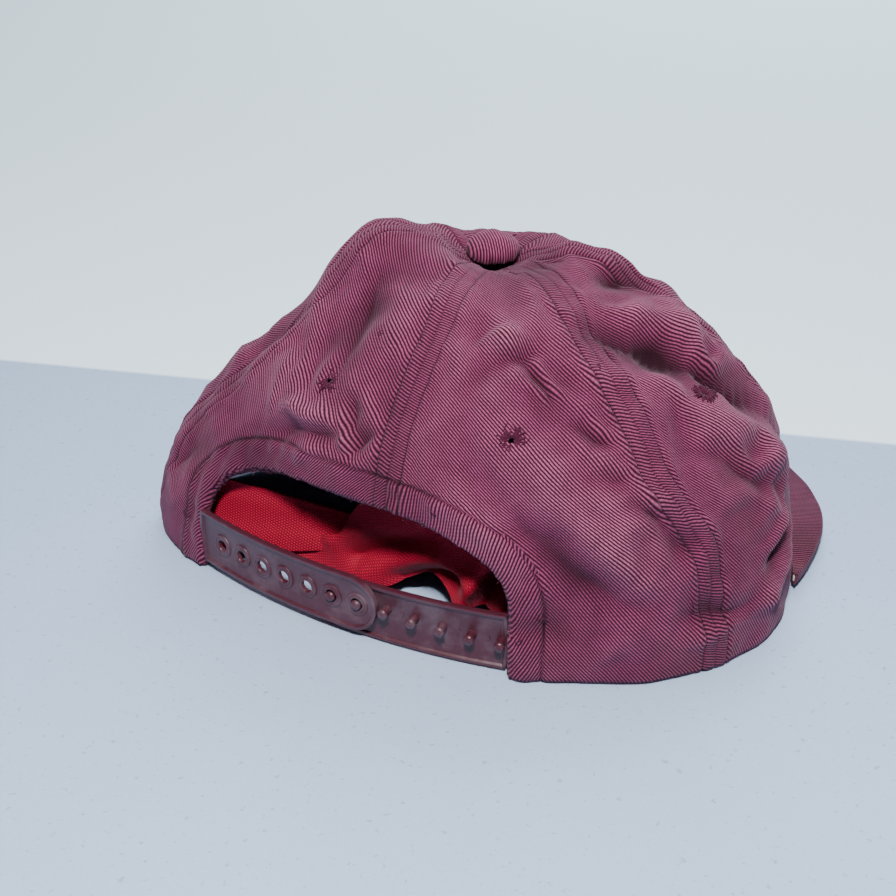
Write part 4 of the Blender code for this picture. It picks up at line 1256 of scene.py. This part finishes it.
def peg_model():
    """A mushroom peg: a slim shank under a wider rounded head with a pip on it."""
    deselect()
    bpy.ops.mesh.primitive_cylinder_add(vertices=24, radius=PEG_RADIUS, depth=PEG_LENGTH * 0.66)
    peg = bpy.context.object
    bpy.ops.object.transform_apply(location=True)
    peg.data.transform(Matrix.Translation((0, 0, PEG_LENGTH * 0.30)))
    select_faces(peg, lambda spot, normal: normal.z > 0.9)
    wide = PEG_HEAD / PEG_RADIUS
    for rise, scale in ((0.0, wide), (0.00025, 1.08), (0.0004, 0.94), (0.0004, 0.78), (0.00018, 0.6)):
        bpy.ops.mesh.extrude_region_move(TRANSFORM_OT_translate={"value": (0, 0, rise)})
        bpy.ops.transform.resize(value=(scale, scale, 1))
    bpy.ops.mesh.inset(thickness=0.00016)
    bpy.ops.mesh.extrude_region_move(TRANSFORM_OT_translate={"value": (0, 0, 0.00022)})
    select_faces(peg, lambda spot, normal: normal.z < -0.9 and spot.z < 0)
    bpy.ops.transform.resize(value=(1.35, 1.35, 1))
    bpy.ops.object.mode_set(mode="OBJECT")
    return peg


def mark_model():
    """A shallow half-moon mark that an ejector pin left in the moulding."""
    deselect()
    bpy.ops.mesh.primitive_torus_add(major_segments=24, minor_segments=8, major_radius=0.00115,
                                     minor_radius=0.00016)
    mark = bpy.context.object
    bpy.ops.object.mode_set(mode="EDIT")
    bpy.ops.mesh.select_all(action="SELECT")
    bpy.ops.mesh.bisect(plane_co=(0.0002, 0, 0), plane_no=(1, 0, 0), use_fill=True, clear_inner=True)
    bpy.ops.object.mode_set(mode="OBJECT")
    return mark


def finish_strap(piece, node_name, body, centre_line):
    """Cross-cut the flat moulding, bend it, ease its edges and mark where the bloom gathers."""
    activate(piece)
    bpy.ops.object.mode_set(mode="EDIT")
    reach = sorted({round(vert.co.x, 6) for vert in piece.data.vertices})
    for along in np.arange(reach[0] + 0.002, reach[-1], 0.002):
        bpy.ops.mesh.select_all(action="SELECT")
        bpy.ops.mesh.bisect(plane_co=(float(along), 0, 0), plane_no=(1, 0, 0))
    bpy.ops.object.mode_set(mode="OBJECT")
    apply_modifier(piece, "BEVEL", width=0.00022, segments=2, limit_method="ANGLE",
                   angle_limit=math.radians(50))
    flat = read_spots(piece.data)
    half = STRAP_HEIGHT / 2
    flat[:, 1] = np.clip(flat[:, 1], centre_line - half, centre_line + half)
    middle = np.abs(flat[:, 1] - centre_line) / half
    # here the attribute holds only where the bloom gathers, less towards the rims
    wear_and_shade = np.clip(1.25 - 0.35 * middle - 6 * np.clip(middle - 0.86, 0, 1), 0, 1)
    mark_wear_and_shade(piece.data, wear_and_shade)
    piece.data.vertices.foreach_set("co", bend_to_strap(flat).ravel())
    piece.data.materials.clear()
    piece.data.materials.append(looks()["plastic"])
    activate(piece)
    bpy.ops.object.shade_smooth_by_angle(angle=math.radians(32))
    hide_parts(node_name)
    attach(piece, body)


def make_hole_strap():
    low, face = LEFT_STRAP_LIFT, LEFT_WEB_FACE
    last = FIRST_HOLE + (PEGS - 1) * PITCH
    strap = strap_blank("moulded_hole_strap", LEFT_START, last + TIP_REACH, low, face)
    height = low + STRAP_HEIGHT / 2
    places = [(FIRST_HOLE + number * PITCH, height, face) for number in range(PEGS)]
    deselect()
    bpy.ops.mesh.primitive_cylinder_add(vertices=32, radius=HOLE_RADIUS, depth=0.008)
    drill = bpy.context.object
    drills = copy_along(drill, places)
    bpy.data.objects.remove(drill)
    join_into(drills[0], drills[1:])
    apply_modifier(strap, "BOOLEAN", object=drills[0], operation="DIFFERENCE", solver="EXACT")
    bpy.data.objects.remove(drills[0])
    ring = ring_model()
    rings = copy_along(ring, places)
    bpy.data.objects.remove(ring)
    join_into(strap, rings)
    finish_strap(strap, "strap_holes", "left_strap", height)


def make_peg_strap():
    low = RIGHT_STRAP_LIFT
    last_peg = FIRST_HOLE + (PEGS - 2) * PITCH
    face = LEFT_WEB_FACE - WEB - STACK_GAP - RIM
    strap = strap_blank("moulded_peg_strap", STRAP_ARC + ROOT_HIDDEN, last_peg - TIP_REACH, low, face)
    height = LEFT_STRAP_LIFT + STRAP_HEIGHT / 2
    pegs, marks = [], []
    for number in range(PEGS):
        lean = max(0.0, (number - 1) / (PEGS - 2)) * (LEFT_STRAP_LIFT - RIGHT_STRAP_LIFT)
        pegs.append((last_peg + number * PITCH, height - lean, face))
        if number:
            marks.append((last_peg + (number - 0.5) * PITCH, height - lean + 0.0002, face + 0.00004))
    for model, places in ((peg_model(), pegs), (mark_model(), marks)):
        copies = copy_along(model, places)
        bpy.data.objects.remove(model)
        join_into(strap, copies)
    finish_strap(strap, "strap_pegs", "right_strap", low + STRAP_HEIGHT / 2)


# ---- visor ----------------------------------------------------------------------------------
def visor_rows(columns):
    """Plan and height of the visor's middle at the hem and at the outer edge."""
    hem = round_the_crown(HEM, np.linspace(*VISOR_HEM, columns))
    outward = unit(hem[:, :2] - VISOR_HINGE[:2])
    inner = hem[:, :2] + outward * VISOR_CLEAR
    turn = np.radians(np.linspace(*VISOR_TURN, columns))
    reach = np.where(np.sin(turn) < 0, VISOR_REACH, VISOR_SIDE_REACH)
    outer = np.stack([VISOR_MIDDLE_X + VISOR_HALF_WIDTH * np.cos(turn),
                      VISOR_WAIST_Y + reach * np.sin(turn)], 1)
    width = np.linalg.norm(outer - inner, axis=1, keepdims=True)
    root = np.maximum(hem[:, 2:], VISOR_ROOT_LOW)
    tip = root + (VISOR_TIP_Z - root) * np.clip(width / VISOR_LEVEL_WIDTH, 0, 1)
    return np.hstack([inner, root]), np.hstack([outer, tip])


def visor_sheet(name, shares, heights, look):
    """A cloth sheet over the visor: one row of points for each share of the way out and height."""
    inner, outer = visor_rows(221)
    rows = []
    for share, height in zip(shares, heights):
        row = inner * (1 - share) + outer * share
        row[:, 2] += height
        rows.append(row)
    verts = np.array(rows) + SHIFT
    smooth = verts.reshape(-1, 3)
    waves = ripple(smooth, 0.019, 41) + ripple(smooth, 0.043, 42)
    verts[..., 2] += 0.00018 * waves.reshape(verts.shape[:2])
    verts[..., 2] = np.maximum(verts[..., 2], 0.0004)
    return make_piece(name, verts.reshape(-1, 3), grid_faces(*verts.shape[:2]), look,
                      verts.reshape(-1, 3)[:, :2], 0.25 * ripple(smooth, 0.030, 43))


def make_visor():
    """Top cloth that rolls round the board's edge, and the cloth underneath."""
    thick = VISOR_BOARD / 2 + VISOR_GAP + 0.0001
    turn = np.linspace(math.pi / 2, -math.pi / 2, 9)
    level = 1 - VISOR_ROLL
    shares = np.concatenate([[-0.004, 0.0], np.linspace(0.012, level, 46),
                             level + VISOR_ROLL * np.cos(turn)[1:], [0.95, 0.93]])
    top_height = thick + 0.0005
    heights = np.concatenate([np.full(48, top_height), top_height * np.sin(turn)[1:],
                              [-top_height, -thick - 0.0004]])
    heights[2:48] -= 0.00035 * np.exp(-((shares[2:48] - 0.075) / 0.010) ** 2)
    top = visor_sheet("visor_top_cloth", shares, heights, looks()["visor"])
    # the under cloth's twill is darkened as painted shade under the visor
    under = visor_sheet("visor_under_cloth", np.linspace(0.004, 0.945, 30), np.full(30, -thick),
                        looks()["under_visor"])
    for piece, node_name, offset in ((top, "visor_top_cover", -1), (under, "visor_bottom_cover", 1)):
        apply_modifier(piece, "SOLIDIFY", thickness=0.0004, offset=offset)
        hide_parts(node_name)
        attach(piece, "visor")


# ---- button -----------------------------------------------------------------------------------
def make_button():
    """Cloth-covered dome: gathered at its lower edge, with the twill running across it."""
    deselect()
    low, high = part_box("top_button")
    middle = (Vector(low) + Vector(high)) / 2
    bpy.ops.mesh.primitive_uv_sphere_add(segments=96, ring_count=48, radius=BUTTON_RADIUS)
    button = bpy.context.object
    button.name = "covered_button"
    bpy.ops.object.mode_set(mode="EDIT")
    bpy.ops.mesh.select_all(action="SELECT")
    bpy.ops.transform.resize(value=(1, 1, 0.66))
    bpy.ops.mesh.select_all(action="SELECT")
    bpy.ops.mesh.bisect(plane_co=(0, 0, -BUTTON_RADIUS * 0.30), plane_no=(0, 0, 1), use_fill=True,
                        clear_inner=True)
    bpy.ops.object.mode_set(mode="OBJECT")
    mesh = button.data
    spots = read_spots(mesh)
    cloth = spots[:, :2].copy()
    around = np.arctan2(spots[:, 1], spots[:, 0])
    skirt = np.clip((BUTTON_RADIUS * 0.30 - spots[:, 2]) / (BUTTON_RADIUS * 0.6), 0, 1)
    pleat = np.sin(around * 13 + 1.7 * np.sin(around * 3)) + 0.6 * np.sin(around * 29)
    spots[:, :2] *= (1 + 0.020 * pleat * skirt**2 + 0.012 * np.sin(2 * around + 1))[:, None]
    spots[:, 2] += 0.00022 * ripple(spots, 0.006, 51)
    spots += np.array([middle.x, middle.y, low[2] + BUTTON_RADIUS * 0.30])
    mesh.vertices.foreach_set("co", spots.ravel())
    lay_uvs(mesh, cloth)
    # paler towards the top of the dome, and painted shade in the inward folds of the gathered pleats
    mark_wear_and_shade(mesh, 0.5 * (1 - skirt) - skirt * (pleat < 0))
    mesh.shade_smooth()
    mesh.materials.append(looks()["button"])
    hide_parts("top_button")
    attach(button, "root")


# ---- sweatband ----------------------------------------------------------------------------------
def tail_grid(tail, columns, rows):
    """One flopped end of the band, hung between its lower and upper edge behind the strap."""
    lower, upper = np.array(tail["lower"]) * MM, np.array(tail["upper"]) * MM
    x = np.linspace(lower[0, 0], lower[-1, 0], columns)
    order = np.argsort(lower[:, 0])
    bottom = np.interp(x, lower[order, 0], lower[order, 1])
    order = np.argsort(upper[:, 0])
    top = np.interp(x, upper[order, 0], upper[order, 1])
    soft = np.hanning(9)[1:-1] / np.hanning(9).sum()
    bottom = np.convolve(np.pad(bottom, 3, mode="edge"), soft, "valid")
    top = np.convolve(np.pad(top, 3, mode="edge"), soft, "valid")
    share = np.linspace(0, 1, rows)[:, None]
    z = bottom * (1 - share) + top * share
    plan = np.repeat(x[None], rows, 0)
    depth = tail["depth"][0] * MM * (1 - share) + tail["depth"][1] * MM * share
    depth = np.repeat(depth, columns, 1)
    spots = np.stack([plan, z], -1)
    for rise, width, places in tail["folds"]:
        line = smooth_line(places, 40) * MM
        near = np.sqrt(((spots[:, :, None] - line) ** 2).sum(-1)).min(2)
        depth = depth - rise * MM * np.exp(-(near / (width * MM)) ** 1.5)
    depth += 0.0005 * ripple(np.stack([plan, z, depth], -1), 0.015, 61)
    chord = LEFT_ROOT[1] + SHIFT[1] + (LEFT_ROOT[0] + SHIFT[0] - plan) * STRAP_SLOPE
    return np.stack([plan, chord - depth, z], -1)


def make_sweatband():
    """Red band: a folded cloth strip inside the hem whose two ends lie loose behind the strap."""
    crown = the_crown()
    angle = np.linspace(*BAND_ANGLES, 420)
    share = np.linspace(0, 1, 22)
    down = BAND_BOTTOM + (BAND_TOP - BAND_BOTTOM) * share
    wave = 0.0006 * ripple(crown.at(angle, 0.9), 0.045, 62)
    wall = np.array([crown.at(angle, row) - crown.normal(angle, row)
                     * (0.0032 + wave * (0.3 + 0.7 * up))[:, None] for row, up in zip(down, share)])
    right, left = tail_grid(RIGHT_TAIL, 150, 22), tail_grid(LEFT_TAIL, 60, 22)
    strips = []
    for first, second in ((right, wall), (wall, left)):
        near, far = first[:, -1:], second[:, :1]
        lean_in = (first[:, -1] - first[:, -4]) * 4
        lean_out = (second[:, 3] - second[:, 0]) * 4
        t = np.linspace(0, 1, 26)[None, 1:-1, None]
        strips.append((2 * t**3 - 3 * t**2 + 1) * near + (t**3 - 2 * t**2 + t) * lean_in[:, None]
                      + (3 * t**2 - 2 * t**3) * far + (t**3 - t**2) * lean_out[:, None])
    verts = np.concatenate([right, strips[0], wall, strips[1], left], 1)
    travel = run_length(verts[11])
    rise = np.concatenate([np.zeros((1, verts.shape[1])),
                           np.cumsum(np.linalg.norm(np.diff(verts, axis=0), axis=2), 0)], 0)
    uv = np.stack([np.repeat(travel[None], len(verts), 0), rise], -1)
    piece = make_piece("woven_sweatband", verts.reshape(-1, 3), grid_faces(*verts.shape[:2]), looks()["band"],
                       uv.reshape(-1, 2), np.zeros(verts.shape[0] * verts.shape[1]))
    apply_modifier(piece, "SOLIDIFY", thickness=0.0011, offset=0)
    apply_modifier(piece, "BEVEL", width=0.0004, segments=2, limit_method="ANGLE",
                   angle_limit=math.radians(60))
    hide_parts("sweatband")
    finish_cloth(piece, True)


# ---- loose threads --------------------------------------------------------------------------------
def make_loose_threads():
    """Fuzz along the opening's worn edge and a few longer ends of sewing thread."""
    crown = the_crown()
    random = np.random.default_rng(77)
    fuzz, ends = Threads(), Threads()
    line = crown.at(ARCH_ANGLE, ARCH_DOWN, 0.0008)
    normal = crown.normal(ARCH_ANGLE, ARCH_DOWN)
    way = unit(np.gradient(line, axis=0))
    for _ in range(FUZZ_COUNT):
        i = random.integers(30, len(line) - 30)
        into = np.array([0, 0, -1.0]) + way[i] * random.normal(0, 0.9) + normal[i] * random.normal(0.2, 0.5)
        into /= np.linalg.norm(into)
        bend = way[i] * random.normal(0, 0.0006)
        reach = random.gamma(2.0, 0.00035)
        path = [line[i] + into * reach * s + bend * s * s for s in np.linspace(-0.3, 1, 5)]
        fuzz.add(*tube(path, 0.00005, 3))
    for angle, down, reach, turn in LOOSE_ENDS:
        start, out = crown.at(angle, down), crown.normal(angle, down)
        side = np.cross(out, [0, 0, 1.0])
        side /= np.linalg.norm(side)
        up = np.cross(side, out)
        path, heading = [start - out * 0.0006], turn
        for step in range(14):
            heading += random.normal(0.10, 0.16)
            lift = 0.0010 * math.sin(math.pi * (step + 1) / 14)
            path.append(path[-1] + (side * math.cos(heading) + up * math.sin(heading)) * reach / 14
                        + out * (lift - 0.0004))
        ends.add(*tube(path, 0.00016, 5))
    for name, threads, look, slot in (("frayed_edge_fuzz", fuzz, "edge_fuzz", "maroon_twill"),
                                      ("loose_thread_ends", ends, "thread", "maroon_thread")):
        piece = threads.piece(name, looks()[look])
        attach(piece, "root")


# ---- stage ------------------------------------------------------------------------------
def make_floor():
    deselect()
    bpy.ops.mesh.primitive_plane_add(size=12, location=(0, 0, -0.0005))
    floor = bpy.context.object
    floor.name = "floor"
    made, tree, shader = base_material("pale_floor", 0.8, specular=0.2)
    place = node(tree, "ShaderNodeTexCoord").outputs["Object"]
    cloud = noise(tree, place, 9.0, 4.0)
    speck = above(tree, noise(tree, place, 420.0, 2.0), 0.64, 14.0)
    grain = noise(tree, place, 700.0, 3.0)
    colour = mix_colour(tree, cloud, (0.30, 0.40, 0.57), (0.37, 0.48, 0.66))
    colour = mix_colour(tree, times(tree, speck, 0.55), colour, (0.16, 0.20, 0.25))
    colour = mix_colour(tree, times(tree, grain, 0.30), colour, (0.50, 0.60, 0.76))
    far = node(tree, "ShaderNodeSeparateXYZ")
    tree.links.new(place, far.inputs[0])
    beyond = plus(tree, times(tree, far.outputs[0], PAPER_SLOPE), PAPER_EDGE)
    beyond = times(tree, minus(tree, beyond, far.outputs[1]), 400.0, clamp=True)
    colour = mix_colour(tree, beyond, colour, (0.80, 0.92, 1.0))
    tree.links.new(colour, shader.inputs["Base Color"])
    floor.data.materials.append(made)


def make_stage():
    make_floor()
    scene = bpy.context.scene
    camera = bpy.data.cameras.new("camera")
    camera.lens = CAMERA_LENS
    camera.sensor_width = 36
    holder = bpy.data.objects.new("camera", camera)
    scene.collection.objects.link(holder)
    level = Vector(CAMERA_LEVEL).normalized()
    look_way = level * math.cos(CAMERA_PITCH) + Vector((0, 0, -math.sin(CAMERA_PITCH)))
    holder.location = Vector(SHIFT) + Vector(CAMERA_PLACE)
    holder.rotation_euler = look_way.to_track_quat("-Z", "Y").to_euler()
    scene.camera = holder
    for name, (where, size, power, tint, target) in LIGHTS.items():
        lamp = bpy.data.lights.new(name, "AREA")
        lamp.size, lamp.energy, lamp.color = size, power, tint
        source = bpy.data.objects.new(name, lamp)
        scene.collection.objects.link(source)
        source.location = where
        aim = Vector(target) - Vector(where)
        source.rotation_euler = aim.to_track_quat("-Z", "Y").to_euler()
    world = bpy.data.worlds.new("studio")
    world.use_nodes = True
    sky = world.node_tree.nodes["Background"]
    sky.inputs[0].default_value = WORLD_TINT
    sky.inputs[1].default_value = WORLD_STRENGTH
    scene.world = world


# ---- operators --------------------------------------------------------------------------
class CAP_OT_panels(bpy.types.Operator):
    """Make the six cloth panels with their folds and sewn edges"""
    bl_idname = "cap.panels"
    bl_label = "Crown panels"

    def execute(self, context):
        for panel in range(6):
            make_panel(panel)
        make_facing()
        return {"FINISHED"}


class CAP_OT_stitching(bpy.types.Operator):
    """Sew the topstitching and the eyelets"""
    bl_idname = "cap.stitching"
    bl_label = "Stitching and eyelets"

    def execute(self, context):
        make_topstitching()
        for panel in range(6):
            make_eyelet(panel)
        return {"FINISHED"}


class CAP_OT_inside(bpy.types.Operator):
    """Make the tapes and the lining inside the crown"""
    bl_idname = "cap.inside"
    bl_label = "Tapes and lining"

    def execute(self, context):
        make_inside()
        return {"FINISHED"}


class CAP_OT_strap(bpy.types.Operator):
    """Mould the two halves of the snap strap"""
    bl_idname = "cap.strap"
    bl_label = "Snap strap"

    def execute(self, context):
        make_hole_strap()
        make_peg_strap()
        return {"FINISHED"}


class CAP_OT_visor(bpy.types.Operator):
    """Cover the visor's board, top and bottom"""
    bl_idname = "cap.visor"
    bl_label = "Visor"

    def execute(self, context):
        make_visor()
        return {"FINISHED"}


class CAP_OT_button(bpy.types.Operator):
    """Cover the top button"""
    bl_idname = "cap.button"
    bl_label = "Top button"

    def execute(self, context):
        make_button()
        return {"FINISHED"}


class CAP_OT_sweatband(bpy.types.Operator):
    """Weave the sweatband and lay its loose ends"""
    bl_idname = "cap.sweatband"
    bl_label = "Sweatband"

    def execute(self, context):
        make_sweatband()
        return {"FINISHED"}


class CAP_OT_threads(bpy.types.Operator):
    """Fray the opening's edge and leave a few loose thread ends"""
    bl_idname = "cap.threads"
    bl_label = "Loose threads"

    def execute(self, context):
        make_loose_threads()
        return {"FINISHED"}


class CAP_OT_plain_nodes(bpy.types.Operator):
    """Give the carried-over pieces their finishes"""
    bl_idname = "cap.plain_nodes"
    bl_label = "Carried-over pieces"

    def execute(self, context):
        chosen = {"button_rivet": "metal", "visor_board": "board"}
        for name, look in chosen.items():
            for place in frame["nodes"][name].material_slots:
                place.material = looks()[look]
        return {"FINISHED"}


class CAP_OT_stage(bpy.types.Operator):
    """Lay the floor and set the lights and the camera"""
    bl_idname = "cap.stage"
    bl_label = "Stage"

    def execute(self, context):
        make_stage()
        return {"FINISHED"}


class CAP_PT_panel(bpy.types.Panel):
    """Sizes, colours and building steps of the cap"""
    bl_label = "Six-panel cap"
    bl_space_type = "VIEW_3D"
    bl_region_type = "UI"
    bl_category = "Cap"

    def draw(self, context):
        for group in (context.scene.cap_sizes, context.scene.cap_colours):
            for key in group.bl_rna.properties.keys():
                if key not in ("rna_type", "name"):
                    self.layout.prop(group, key)
        for step in STEPS:
            self.layout.operator(step.bl_idname)


STEPS = [CAP_OT_panels, CAP_OT_stitching, CAP_OT_inside, CAP_OT_strap, CAP_OT_visor, CAP_OT_button,
         CAP_OT_sweatband, CAP_OT_threads, CAP_OT_plain_nodes, CAP_OT_stage]
CLASSES = [CapSizes, CapColours, *STEPS, CAP_PT_panel]


def register():
    for item in CLASSES:
        bpy.utils.register_class(item)
    bpy.types.Scene.cap_sizes = bpy.props.PointerProperty(type=CapSizes)
    bpy.types.Scene.cap_colours = bpy.props.PointerProperty(type=CapColours)


def unregister():
    del bpy.types.Scene.cap_colours
    del bpy.types.Scene.cap_sizes
    for item in reversed(CLASSES):
        bpy.utils.unregister_class(item)


def main():
    register()
    deselect()
    for step in STEPS:
        package, action = step.bl_idname.split(".")
        getattr(getattr(bpy.ops, package), action)()


if __name__ == "__main__":
    main()
